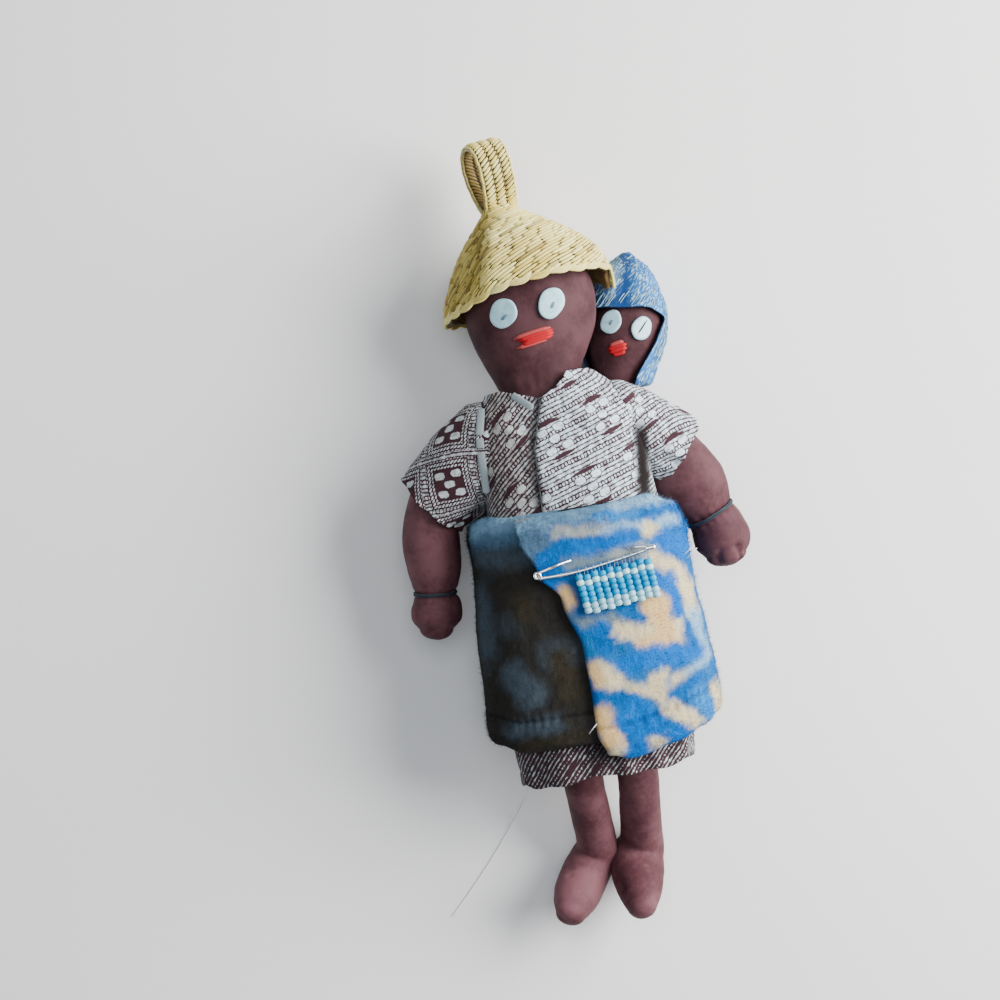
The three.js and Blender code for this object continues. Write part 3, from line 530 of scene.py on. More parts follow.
# Materials
class Field:
    """A value that changes over the surface. Each sign of a formula on it adds one math node."""

    def __init__(self, shader, socket):
        self.shader, self.socket = shader, socket

    def __add__(self, other):
        return self.shader.math("ADD", self, other)

    def __radd__(self, other):
        return self.shader.math("ADD", other, self)

    def __sub__(self, other):
        return self.shader.math("SUBTRACT", self, other)

    def __rsub__(self, other):
        return self.shader.math("SUBTRACT", other, self)

    def __mul__(self, other):
        return self.shader.math("MULTIPLY", self, other)

    def __truediv__(self, other):
        return self.shader.math("DIVIDE", self, other)

    def __pow__(self, other):
        return self.shader.math("POWER", self, other)

    def __abs__(self):
        return self.shader.math("ABSOLUTE", self)


class Shader:
    """A material of nodes, with short calls for the steps that repeat."""

    def __init__(self, name, **values):
        self.material = bpy.data.materials.new(name)
        self.material.use_nodes = True
        self.tree = self.material.node_tree
        self.surface = self.tree.nodes["Principled BSDF"]
        for key, value in values.items():
            self.surface.inputs[key.replace("_", " ")].default_value = value

    def node(self, kind, inputs=(), **settings):
        """A new node. Each input is a field to link or a value."""
        made = self.tree.nodes.new(kind)
        for key, value in settings.items():
            setattr(made, key, value)
        for socket, value in dict(inputs).items():
            if isinstance(value, Field):
                self.tree.links.new(value.socket, made.inputs[socket])
            else:
                made.inputs[socket].default_value = value
        return made

    def field(self, kind, inputs=(), output=0, **settings):
        """One output of a new node."""
        return Field(self, self.node(kind, inputs, **settings).outputs[output])

    def math(self, operation, a, b=0.0, c=0.0):
        """One step of arithmetic."""
        return self.field("ShaderNodeMath", {0: a, 1: b, 2: c}, operation=operation)

    def step(self, x, low, high):
        """0 below low and 1 above high, smoothly between."""
        return self.field("ShaderNodeMapRange", {0: x, 1: low, 2: high}, interpolation_type="SMOOTHSTEP")

    def mix(self, factor, a, b):
        """Colour a where the factor is 0 and colour b where it is 1."""
        made = self.node("ShaderNodeMix", data_type="RGBA")
        for socket, value in ((0, factor), (6, a), (7, b)):
            if isinstance(value, Field):
                self.tree.links.new(value.socket, made.inputs[socket])
            elif socket == 0:
                made.inputs[socket].default_value = value
            else:
                made.inputs[socket].default_value = (*value, 1)
        return Field(self, made.outputs[2])

    def noise(self, scale, detail, roughness, stretch=(1, 1, 1)):
        """Noise from 0 to 1 over the doll."""
        moved = self.field("ShaderNodeMapping", {0: self.place(), 3: stretch})
        values = {0: moved, "Scale": scale, "Detail": detail, "Roughness": roughness}
        return self.field("ShaderNodeTexNoise", values, "Fac")

    def place(self):
        """The place on the doll, in metres."""
        return self.field("ShaderNodeTexCoord", output="Object")

    def cloth(self):
        """The cloth coordinates, in millimetres."""
        return self.field("ShaderNodeUVMap", uv_map="cloth")

    def tone(self):
        """The three numbers that each point of a mesh carries, mostly a colour."""
        return self.field("ShaderNodeAttribute", output="Color", attribute_name="tone")

    def channel(self, colour, index):
        """One of a colour's three numbers."""
        return self.field("ShaderNodeSeparateColor", {0: colour}, index)

    def grey(self, value):
        """A grey of the given value."""
        return self.field("ShaderNodeCombineColor", {0: value, 1: value, 2: value})

    def tinted(self, colour, by, share):
        """The colour multiplied by another one, in part."""
        made = self.node("ShaderNodeMix", data_type="RGBA", blend_type="MULTIPLY")
        made.inputs[0].default_value = share
        self.tree.links.new(colour.socket, made.inputs[6])
        self.tree.links.new(by.socket, made.inputs[7])
        return Field(self, made.outputs[2])

    def above(self, x, limit, soft=0.12):
        """1 where x is above the limit, with a soft edge."""
        return self.step(x, limit - soft / 2, limit + soft / 2)

    def below(self, x, limit, soft=0.12):
        """1 where x is below the limit, with a soft edge."""
        return 1.0 - self.above(x, limit, soft)

    def wave(self, x, period):
        """A sine wave of the given period."""
        return self.math("SINE", x * (2 * math.pi / period))

    def split(self, vector):
        """The first two numbers of a vector."""
        made = self.node("ShaderNodeSeparateXYZ", {0: vector})
        return Field(self, made.outputs[0]), Field(self, made.outputs[1])

    def colour(self, field):
        """Gives the surface its colour."""
        self.tree.links.new(field.socket, self.surface.inputs["Base Color"])

    def roughness(self, field):
        """Gives the surface its roughness."""
        self.tree.links.new(field.socket, self.surface.inputs["Roughness"])

    def bump(self, height, distance, strength):
        """Fine relief of the surface, its distance in millimetres."""
        values = {"Strength": strength, "Distance": distance * MM, "Height": height}
        made = self.node("ShaderNodeBump", values)
        self.tree.links.new(made.outputs[0], self.surface.inputs["Normal"])


# Colours as the shares of red, green and blue light that each surface sends back
SKIN_DARK = (0.058, 0.021, 0.026)
SKIN_LIGHT = (0.118, 0.051, 0.060)
# Painted shade in the gaps between the hat's strands.
STRAW_GAP_SHADE = (0.055, 0.032, 0.010)
STRAW_DARK = (0.180, 0.110, 0.030)
STRAW_MID = (0.740, 0.580, 0.120)
STRAW_LIGHT = (0.960, 0.880, 0.340)
PRINT_GROUND = (0.024, 0.008, 0.012)
PRINT_WORN = (0.060, 0.024, 0.032)
# Painted shade on the print, near black.
PRINT_PAINTED_SHADE = (0.010, 0.006, 0.006)
PRINT_WHITE = (0.700, 0.840, 0.930)
# The white print's beige tint in painted shade.
PRINT_SHADED_BEIGE = (0.440, 0.390, 0.330)
BLUE = (0.000, 0.088, 0.320)
BRIGHT_BLUE = (0.000, 0.110, 0.420)
SKY = (0.016, 0.170, 0.460)
PALE = (0.195, 0.350, 0.500)
CREAM = (0.560, 0.480, 0.300)
TAN = (0.600, 0.400, 0.180)
GREY = (0.130, 0.180, 0.210)
SKY_GREY = (0.110, 0.220, 0.330)
BEIGE_GREY = (0.260, 0.290, 0.290)
STEEL_BLUE = (0.056, 0.110, 0.180)
SLATE = (0.046, 0.064, 0.082)
UMBER = (0.030, 0.026, 0.018)
CHARCOAL = (0.022, 0.021, 0.019)
# Painted shade and light on the hood: its fold, its shaded side and its lit side.
HOOD_FOLD_SHADE = (0.004, 0.036, 0.150)
HOOD_SHADED_BLUE = (0.016, 0.075, 0.220)
HOOD_LIT_BLUE = (0.035, 0.170, 0.430)
HOOD_WHITE = (0.420, 0.640, 0.760)
NAVY = (0.002, 0.005, 0.016)
PEARL_LIGHT = (0.410, 0.670, 0.750)
PEARL_GREY = (0.300, 0.540, 0.640)
BRIGHT_RED = (0.520, 0.010, 0.018)
PINK_RED = (0.480, 0.075, 0.075)
TIE_GREY = (0.040, 0.052, 0.068)
TAPE_WHITE = (0.330, 0.400, 0.430)
THREAD_WHITE = (0.780, 0.800, 0.810)
STEEL_GREY = (0.780, 0.800, 0.820)
STEEL_BRIGHT = (0.950, 0.960, 0.970)


def knit_material(name, depth):
    """Stocking knit. The larger the depth, the darker its brown; the copies are one knit, lighter or darker
    per part as painted light and shade.
    """
    s = Shader(name, Roughness=0.6, Specular_IOR_Level=0.1)
    u, v = s.split(s.cloth())
    wale = s.math("SINE", u * (2 * math.pi / 0.42))
    sway = abs(wale) * 0.16
    course = s.math("SINE", (v + sway) * (2 * math.pi / 0.34))
    stitch = wale * 0.2 + course * 0.16
    patches = s.noise(90, 3, 0.55)
    fine = s.noise(900, 2, 0.6)
    blotch = s.step(patches + fine * 0.25, 0.42, 0.8)
    s.colour(s.mix(blotch, tuple(np.array(SKIN_DARK) / depth), tuple(np.array(SKIN_LIGHT) / depth)))
    s.roughness(0.5 + fine * 0.2)
    s.bump(stitch + fine * 1.2, 0.04, 0.4)
    return s.material


def straw_material():
    """Dry grass: each strand has its own tone, streaked along its fibres."""
    s = Shader("plaited_straw", Roughness=0.5, Sheen_Weight=0.05)
    stretched = s.field("ShaderNodeMapping", {0: s.cloth(), 3: (9.0, 0.5, 1)})
    values = {0: stretched, "Scale": 1.2, "Detail": 3.0, "Roughness": 0.6}
    fibre = s.field("ShaderNodeTexNoise", values, "Fac")
    streak = s.mix(s.step(fibre, 0.28, 0.58), STRAW_DARK, (1, 1, 1))
    s.colour(s.tinted(s.tone(), streak, 0.6))
    s.roughness(0.38 + fibre * 0.3)
    s.bump(fibre, 0.12, 0.6)
    return s.material


PRINT_LINE = 1.05
PRINT_CELL = (14.7, 14.9)
PRINT_ROW_SHIFT = 0.226
FRAME_CELL = 14.4


def print_material(name, framed=False):
    """White print on maroon cotton: fine lines round clusters of ovals, or square frames of dots. The tone's
    blue tints the white beige and its green darkens it to near black, both painted shade.
    """
    s = Shader(name, Roughness=0.9, Specular_IOR_Level=0.2)
    t, across = s.split(s.cloth())
    fuzz = (s.noise(1900, 3, 0.7) - 0.5) * 0.75
    sway = (s.noise(170, 2, 0.5) - 0.5) * 0.5
    across = across + (fuzz + sway)
    t = t + fuzz
    cell = (FRAME_CELL, FRAME_CELL) if framed else PRINT_CELL
    row = across / cell[1]
    shift = s.math("FLOOR", row) * (0.0 if framed else PRINT_ROW_SHIFT)
    column = t / cell[0] + shift
    p = (s.math("FRACT", column) - 0.5) * cell[0]
    q = (s.math("FRACT", row) - 0.5) * cell[1]
    far_p, far_q = abs(p), abs(q)
    lines = print_lines(s, t, across)
    if framed:
        far = s.math("MAXIMUM", far_p, far_q)
        dots = print_dots(s, p - q, far)
        printed = s.math("MAXIMUM", lines * s.above(far, 6.5), dots)
    else:
        printed = lines * (1.0 - print_wedges(s, far_p, far_q))
    for ring, inked in ((1.32, False), (1.0, True)):
        ovals = s.math("MAXIMUM", print_oval(s, far_p, far_q, 0.0, 0.0, ring),
                       print_oval(s, far_p, far_q, 2.35, 2.5, ring))
        ovals = ovals * s.above(s.channel(s.tone(), 0), 0.205, 0.01)
        clear = printed * (1.0 - ovals)
        printed = s.math("MAXIMUM", printed, ovals) if inked else clear
    grain = s.noise(2600, 2, 0.7)
    worn = s.step(s.noise(900, 3, 0.75), 0.34, 0.56) * 0.5
    strength = 0.22 + worn + grain * 0.56
    faded = printed * strength
    # Painted shade: the tone's blue tints the white print beige.
    white = s.mix(s.channel(s.tone(), 2), PRINT_WHITE, PRINT_SHADED_BEIGE)
    ground = s.mix(s.noise(320, 2, 0.6), PRINT_GROUND, PRINT_WORN)
    # Painted shade: the tone's green darkens the print to near black.
    shade = s.channel(s.tone(), 1) ** 0.6
    s.colour(s.mix(shade, s.mix(faded, ground, white), PRINT_PAINTED_SHADE))
    weave = s.wave(t, 0.3) + s.wave(across, 0.3)
    relief = grain + printed * 0.6
    s.bump(weave * 0.3 + relief, 0.06, 0.6)
    return s.material


def print_wedges(s, p, q):
    """Dark slivers above and below each cluster, wide in the middle and pointed at both ends."""
    lens = 0.62 - p * p * 0.045
    off = abs(q - 4.5)
    return s.below(off - lens, 0.0, 0.2)


def print_lines(s, t, across):
    """Fine parallel lines, some of them broken into dots. The tone's red sets how wide they are."""
    line_at = across / PRINT_LINE
    number = s.math("FLOOR", line_at)
    off_line = abs(s.math("FRACT", line_at) - 0.5)
    seed = number * 7.31 + t * 0.55
    values = {"W": seed, "Scale": 1.0, "Detail": 2.0}
    uneven = s.field("ShaderNodeTexNoise", values, "Fac", noise_dimensions="1D")
    width = s.channel(s.tone(), 0) + (uneven - 0.5) * 0.34
    line = s.below(off_line - width, 0.0, 0.16)
    kind = s.math("FRACT", number * 0.25)
    dotted = s.math("MAXIMUM", s.above(kind, 0.1), s.above(s.wave(t, 0.95), -0.4, 0.6))
    pale = 0.55 + s.step(uneven, 0.36, 0.6) * 0.45
    return line * pale * dotted


def print_dots(s, along, far):
    """The band of a square frame: two rows of dots between thin lines."""
    band = s.above(far, 4.25) * s.below(far, 6.35)
    two_rows = s.above(s.wave(far + 0.1, 1.05), -0.35, 0.4)
    dots = s.above(s.wave(along, 1.0), -0.3, 0.4)
    return band * (two_rows * dots)


def print_oval(s, p, q, centre_p, centre_q, size):
    """One of the cluster's blunt ovals, drawn once for all four corners."""
    x = abs((p - centre_p) / 1.4)
    y = abs((q - centre_q) / 0.9)
    far = x ** 3.2 + y ** 3.2
    uneven = (s.noise(520, 3, 0.6) - 0.5) * 1.6
    return s.below(far + uneven, size * size, 0.3)


def fleece_material():
    """Brushed fleece in the colour of its area, with lint and curls."""
    s = Shader("fleece", Roughness=0.95, Specular_IOR_Level=0.05)
    lint = s.noise(700, 4, 0.7, stretch=(1, 0.45, 1))
    curl = s.noise(2400, 3, 0.7)
    shade = 0.36 + (lint + curl) * 0.64
    s.colour(s.tinted(s.tone(), s.grey(shade), 1.0))
    s.bump(lint * 0.8 + curl * 0.5, 0.5, 0.7)
    return s.material


def hood_material():
    """Blue cotton with white weft floats that all slant one way."""
    s = Shader("blue_woven_cotton", Roughness=0.85, Specular_IOR_Level=0.15)
    slant = s.field("ShaderNodeMapping", {0: s.place(), 2: (0, 0, math.radians(-46))})
    stretched = s.field("ShaderNodeMapping", {0: slant, 3: (480, 2500, 1200)})
    streak = s.field("ShaderNodeTexNoise", {0: stretched, "Scale": 1.0, "Detail": 2.0}, "Fac")
    weave = s.noise(1800, 2, 0.7)
    floats = s.step(streak, 0.51, 0.64) * s.step(s.channel(s.tone(), 0), 0.005, 0.02)
    s.colour(s.mix(floats * 0.6, s.tone(), HOOD_WHITE))
    s.bump(streak + weave, 0.15, 0.6)
    return s.material


def thread_material():
    """Spun thread in the colour that each piece carries."""
    s = Shader("spun_thread", Roughness=0.7, Specular_IOR_Level=0.2)
    twist = s.noise(3200, 2, 0.6)
    s.colour(s.tinted(s.tone(), s.grey(twist), 0.4))
    s.bump(twist, 0.05, 0.5)
    return s.material


def pearl_material():
    """A shiny plastic disc with faint clouds."""
    s = Shader("pearl_disc", Roughness=0.3, Coat_Weight=0.3, Coat_Roughness=0.2)
    cloud = s.noise(420, 3, 0.6)
    s.colour(s.mix(s.step(cloud, 0.34, 0.62), PEARL_GREY, PEARL_LIGHT))
    s.bump(cloud, 0.06, 0.4)
    return s.material


def bead_material():
    """Glass beads, each in its own tone."""
    s = Shader("seed_beads", Roughness=0.2, Specular_IOR_Level=0.2)
    cloud = s.noise(1500, 2, 0.5)
    s.colour(s.tinted(s.tone(), s.grey(cloud), 0.3))
    return s.material


def steel_material():
    """Plated wire, worn in places."""
    s = Shader("plated_steel", Metallic=1.0, Roughness=0.2)
    wear = s.noise(1300, 3, 0.7)
    s.colour(s.mix(wear, STEEL_GREY, STEEL_BRIGHT))
    s.roughness(0.08 + wear * 0.2)
    s.bump(wear, 0.02, 0.3)
    return s.material


def floor_material():
    """The pale ground under the doll."""
    s = Shader("pale_floor", Roughness=0.9)
    s.colour(s.mix(s.noise(30, 2, 0.5), (0.94, 0.94, 0.94), (0.96, 0.96, 0.96)))
    return s.material


# Painted light and shade: the same knit is lighter on the legs and right arm, darker on the left arm, and
# darkest on the mother's head and the child.
KNIT = knit_material("brown_knit", 0.8)
LEFT_ARM_KNIT = knit_material("brown_knit_left_arm", 1.1)
HEAD_KNIT = knit_material("brown_knit_head", 1.4)
STRAW = straw_material()
PRINT = print_material("printed_cotton")
FRAMED_PRINT = print_material("printed_cotton_frames", framed=True)
FLEECE_CLOTH = fleece_material()
HOOD_WEAVE = hood_material()
THREAD = thread_material()
PEARL = pearl_material()
BEADS = bead_material()
STEEL = steel_material()


def keep(obj, slot, *nodes):
    """The piece rides on the doll and stands for its solids, which it hides. The slot is not used."""
    if nodes:
        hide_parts(*nodes)
    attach(obj, "root")
    return obj


# Camera and thread
def make_camera():
    """The camera looks straight down on the lying doll."""
    data = bpy.data.cameras.new("camera")
    data.lens = CAMERA_LENS
    data.sensor_width = 36.0
    data.sensor_fit = "HORIZONTAL"
    data.clip_start = 0.01
    data.clip_end = 20.0
    camera = bpy.data.objects.new("camera", data)
    camera.location = to_row((*CAMERA_FOOT, CAMERA_HEIGHT))
    camera.rotation_euler = (0, 0, math.radians(CAMERA_ROLL))
    bpy.context.scene.collection.objects.link(camera)
    bpy.context.scene.camera = camera


def make_loose_thread():
    """A cord as a curve, from the hem of the dress down to the ground and along it."""
    points = to_row(curve_through(THREAD_ROUTE, 120))
    data = bpy.data.curves.new("loose_white_thread", "CURVE")
    data.dimensions = "3D"
    data.bevel_depth = THREAD_RADIUS * MM
    data.bevel_resolution = 2
    data.use_fill_caps = True
    spline = data.splines.new("POLY")
    spline.points.add(len(points) - 1)
    spline.points.foreach_set("co", np.concatenate([points, np.ones((len(points), 1))], 1).ravel())
    data.materials.append(white_thread_material())
    thread = bpy.data.objects.new("loose_white_thread", data)
    bpy.context.scene.collection.objects.link(thread)
    keep(thread, "white_thread", "loose_thread")


def white_thread_material():
    """White sewing thread."""
    s = Shader("white_sewing_thread", Roughness=0.7, Sheen_Weight=0.3)
    s.colour(s.mix(s.noise(2500, 2, 0.6), (0.6, 0.6, 0.6), (0.95, 0.95, 0.95)))
    return s.material


make_camera()
make_loose_thread()


# Mother's stuffed forms
NECK_HEIGHT = 39.0


def dent(points, normals, centre, radius, depth):
    """A soft hollow round a centre."""
    far = np.linalg.norm(points - np.array(centre), axis=-1)
    return points - normals * (depth * bell(far, radius))[..., None]


def crease(points, normals, line, width, depth):
    """A soft groove along a line of points."""
    path = curve_through(line, 40)
    far = np.linalg.norm(points[..., None, :] - path, axis=-1).min(axis=-1)
    return points - normals * (depth * bell(far, width))[..., None]


def marked(points, normals, dents, creases):
    """A limb with its dents and creases."""
    for centre, radius, depth in dents:
        points = dent(points, normals, centre, radius, depth)
    for line, width, depth in creases:
        points = crease(points, normals, line, width, depth)
    return points


def lumps(points, size, height, seed):
    """Slight unevenness of stuffing under cloth."""
    return swell(points, rough(points, size, seed) * height)


def mother_head_and_torso():
    """The head and the torso in one, with the knit gathered at the neck."""
    p = loft(MOTHER_BODY, 110, 96, start_dome=4, end_dome=4)
    p = lumps(p, 9, 0.28, 1)
    angle = full_turn(p.shape[1])
    neck = bell(p[..., 1] - NECK_HEIGHT, 3.2)
    gathers = np.cos(angle * 17 + 2.4 * np.sin(angle * 3))[None] * neck * 0.08
    p = swell(p, gathers)
    piece = closed_form("mother_head", p, HEAD_KNIT)
    keep(piece, "brown_knit", "mother_head_and_torso")


def limb_direction(stations, index):
    """Which way a limb runs at one of its sections."""
    return unit(np.array(stations[index + 1][:3]) - np.array(stations[index - 1][:3]))


def arm(name, node, stations, wrist, material, dents, creases, seed):
    """An arm with its hand, pinched and gathered where the thread ties the wrist."""
    p = loft(stations, 110, 64, limb=True, start_dome=3, end_dome=3)
    p = lumps(p, 6, 0.22, seed)
    along = (p - np.array(stations[wrist][:3])) @ limb_direction(stations, wrist)
    angle = full_turn(p.shape[1])[None]
    pinch = bell(along, 0.9) * 0.7
    gathers = bell(along, 2.6) * np.cos(angle * 15 + 2 * np.sin(angle * 2)) * 0.16
    p = swell(p, gathers - pinch)
    p = marked(p, outward_normals(p), dents, creases)
    piece = closed_form(name, p, material)
    keep(piece, "brown_knit", node)


def remeshed(name, parts, voxel, smooth_rounds):
    """Several closed grids melted into one soft skin: its points in doll millimetres, normals and quads."""
    bundle = Bundle()
    for grid in parts:
        rings, sides = grid.shape[:2]
        bundle.add(with_poles(grid), tube_faces(rings, sides)[0], pole_fans(rings, sides))
    raw = bundle.build(name + "_raw", KNIT)
    face_outward(raw)
    remesh = raw.modifiers.new("remesh", "REMESH")
    remesh.mode = "VOXEL"
    remesh.voxel_size = voxel * MM
    soften = raw.modifiers.new("smooth", "SMOOTH")
    soften.factor = 0.5
    soften.iterations = smooth_rounds
    melted = bpy.data.meshes.new_from_object(raw.evaluated_get(bpy.context.evaluated_depsgraph_get()))
    co = np.zeros(len(melted.vertices) * 3)
    melted.vertices.foreach_get("co", co)
    quads = np.array([tuple(f.vertices) for f in melted.polygons if len(f.vertices) == 4])
    normals = np.zeros(len(melted.vertices) * 3)
    melted.vertices.foreach_get("normal", normals)
    bpy.data.objects.remove(raw)
    bpy.data.meshes.remove(melted)
    return co.reshape(-1, 3) / MM - DOLL_ORIGIN, normals.reshape(-1, 3), quads


def limb_uv(points, path):
    """Cloth coordinates of a limb: round its path and along it."""
    line = curve_through([s[:3] for s in path], 80)
    near = np.linalg.norm(points[:, None] - line[None], axis=-1).argmin(axis=1)
    along = lengths_along(line)[near]
    offset = points - line[near]
    return np.stack([np.arctan2(offset[:, 0], -offset[:, 2] - offset[:, 1] * 0.3) * 5.5, along], -1)


def leg(name, node, shin, foot, dents, creases, seed):
    """A leg and its foot, melted into one skin."""
    tube = loft(shin, 50, 48, limb=True, start_dome=3, end_dome=4)
    sole = loft(foot, 40, 48, limb=True, start_dome=4, end_dome=2.8)
    p, normals, quads = remeshed(name, [tube, sole], 0.5, 14)
    p = p + normals * (rough(p, 5, seed) * 0.2 + 0.12)[:, None]
    p = marked(p, normals, dents, creases)
    piece = new_object(name, p, [quads], KNIT, limb_uv(p, shin + foot[1:]))
    face_outward(piece)
    keep(piece, "brown_knit", node)


def make_limbs():
    """Both arms with their wrist ties, and both legs with their feet."""
    arm("mother_right_arm_skin", "mother_right_arm", RIGHT_ARM, RIGHT_WRIST, KNIT,
        [((-36.4, -21.4, 21.0), 1.3, 1.3), ((-40.5, -15.0, 24.5), 1.6, 0.35)],
        [([(-43.2, -15.5, 21.5), (-41.5, -18.5, 22.5), (-39.4, -20.6, 21.5)], 0.8, 0.5)], 3)
    arm("mother_left_arm_skin", "mother_left_arm", LEFT_ARM, LEFT_WRIST, LEFT_ARM_KNIT,
        [((40.8, -12.2, 24.6), 1.1, 1.0), ((35.2, -14.8, 22.8), 1.5, 0.9), ((43.4, -13.6, 21.5), 1.2, 0.8)],
        [([(40.8, -12.2, 24.6), (41.6, -14.6, 22.5), (41.2, -16.0, 20.0)], 0.7, 0.8),
         ([(36.2, -12.0, 25.0), (35.4, -14.6, 23.0), (36.4, -16.4, 20.0)], 0.7, 0.5)], 4)
    leg("mother_right_leg_skin", "mother_right_leg", RIGHT_SHIN, RIGHT_FOOT,
        [((-23.4, -97.0, 18.5), 1.6, 0.9)],
        [([(-18.6, -88.6, 12.5), (-16.2, -87.4, 15.0), (-13.6, -86.0, 15.6)], 0.6, 0.4),
         ([(-20.4, -91.4, 12.5), (-18.6, -90.0, 15.2), (-16.4, -89.0, 16.6)], 0.5, 0.35),
         ([(-22.6, -93.5, 14.5), (-22.9, -97.0, 18.5), (-21.8, -100.0, 20.5)], 0.8, 0.6)], 5)
    leg("mother_left_leg_skin", "mother_left_leg", LEFT_SHIN, LEFT_FOOT,
        [((-4.6, -95.0, 17.0), 1.8, 0.9), ((-2.0, -98.6, 20.5), 1.0, 0.6)],
        [([(-3.6, -84.6, 12.5), (-0.4, -84.2, 15.2), (3.2, -83.0, 15.8)], 0.9, 0.2),
         ([(-3.8, -87.6, 13.5), (-0.6, -86.8, 16.2)], 0.6, 0.35),
         ([(-5.4, -92.6, 14.0), (-3.4, -96.4, 18.6), (-1.2, -98.6, 21.6)], 0.8, 0.6)], 6)


def wrist_tie(name, node, stations, index):
    """Three turns of thin thread round the pinched wrist."""
    s = np.array(stations[index][:3])
    axis = limb_direction(stations, index)
    side, up = axes_across(axis)
    bundle = Bundle()
    turn = full_turn(144)
    for strand, (lift, shade) in enumerate(((0.26, 1.0), (-0.26, 1.3), (0.0, 0.7))):
        radius = stations[index][3] - 0.1 + 0.1 * (strand == 2) + 0.05 * np.sin(turn * 9 + strand * 2.1)
        ring = s + side * (np.cos(turn) * radius)[:, None] + up * (np.sin(turn) * radius)[:, None]
        ring = ring + axis * (lift + 0.06 * np.cos(turn * 5 + strand))[:, None]
        closed_wire(bundle, ring, TIE_RADIUS, np.array(TIE_GREY) * shade, 7)
    keep(bundle.build(name, THREAD), "grey_thread", node)


def closed_wire(bundle, ring, radius, tone, sides):
    """A closed loop of thread."""
    path = unit(np.roll(ring, -1, 0) - np.roll(ring, 1, 0))
    centre = ring.mean(axis=0)
    side = unit(ring - centre)
    side = unit(side - path * (side * path).sum(-1, keepdims=True))
    grid = ring[:, None] + ring_round(side, np.cross(path, side), sides) * radius
    quads, _ = tube_faces(len(ring), sides, wrap_rings=True)
    bundle.add(grid.reshape(-1, 3), quads, [], tone)


# Faces
def front_of(stations, x, y):
    """Height of a form's front at a place, and the outward normal there."""
    step = 0.3
    slope_x = (front_height(stations, x + step, y) - front_height(stations, x - step, y)) / (2 * step)
    slope_y = (front_height(stations, x, y + step) - front_height(stations, x, y - step)) / (2 * step)
    return front_height(stations, x, y), unit(np.array([-slope_x, -slope_y, 1.0]))


def front_height(stations, x, y, furthest=0.999):
    """Height of a form's front at a place. Past its side it stays that of the furthest share across."""
    s = section_at(stations, np.array([y]))[0]
    off = min(abs((x - s[0]) / s[3]), furthest)
    return s[2] + s[4] * (1 - off ** s[5]) ** (1 / s[5])


# An eye's edge from under it to its middle: share of its radius, and height above the cloth
EYE_PROFILE = [
    (0.55, -0.2), (0.9, -0.15), (0.98, 0.05), (1.0, 0.25), (0.985, 0.42), (0.945, 0.54),
    (0.88, 0.61), (0.75, 0.66), (0.55, 0.69), (0.3, 0.70), (0.12, 0.70),
]
STITCH_GREY = (0.15, 0.25, 0.31)
STITCH_DARK = (0.012, 0.026, 0.045)


def eye(name, node, stations, x, y, long_radius, short_radius, degrees, mark):
    """A flat pearl disc with a rounded edge, held by one small stitch."""
    z, normal = front_of(stations, x, y)
    turn = math.radians(degrees)
    along = np.array([math.cos(turn), math.sin(turn), 0.0])
    along = unit(along - normal * (along @ normal))
    across = np.cross(normal, along)
    centre = np.array([x, y, z]) + normal * 0.3
    angle = full_turn(72)
    wave = 1 + 0.02 * np.sin(angle * 3 + x) + 0.012 * np.sin(angle * 5 + y)
    rings = []
    for share, lift in EYE_PROFILE:
        rings.append(centre + along * (np.cos(angle) * share * long_radius * wave)[:, None]
                     + across * (np.sin(angle) * share * short_radius * wave)[:, None] + normal * lift)
    piece = closed_form(name, np.stack(rings), PEARL)
    keep(piece, "pearl_disc", node)
    stitch = Bundle()
    mark_turn = math.radians(mark["degrees"])
    run = unit(along * math.cos(mark_turn - turn) + across * math.sin(mark_turn - turn))
    lean = np.cross(normal, run)
    middle = centre + np.array([mark["x"], mark["y"], 0.0])
    middle = middle + normal * (0.74 - (middle - centre) @ normal)
    for k, (length, shift) in enumerate(((1.0, 0.0), (0.7, 0.3), (0.6, -0.28))):
        t = np.linspace(-1, 1, 14)[:, None]
        line = middle + run * t * length * mark["length"] / 2 + lean * (shift + 0.1 * t) * mark["spread"]
        tone = np.array(mark["tone"]) * (1 + 0.3 * k)
        stitch.wire(line - normal * 0.1 * t * t, mark["radius"], 6, tone=tone)
    keep(stitch.build(name + "_stitch", THREAD), "grey_thread")


def strands_on(bundle, stations, strands):
    """Strands of thread sewn over a rounded face: start, end, thickness, bow and tone of each."""
    for start, end, radius, bow, tone in strands:
        a, b = np.array(start, float), np.array(end, float)
        run = unit(b - a)
        t = np.linspace(0, 1, 30)
        arch = np.sin(t * math.pi)
        flat = a + (b - a) * t[:, None] + np.array([-run[1], run[0]]) * (bow * arch)[:, None]
        height = np.array([front_height(stations, x, y) for x, y in flat])
        line = np.column_stack([flat, height + 0.05 + 0.3 * np.minimum(arch * 2, 1)])
        bundle.wire(line, radius * (0.35 + 0.65 * np.minimum(arch * 2.2, 1)), 8, tone=tone)


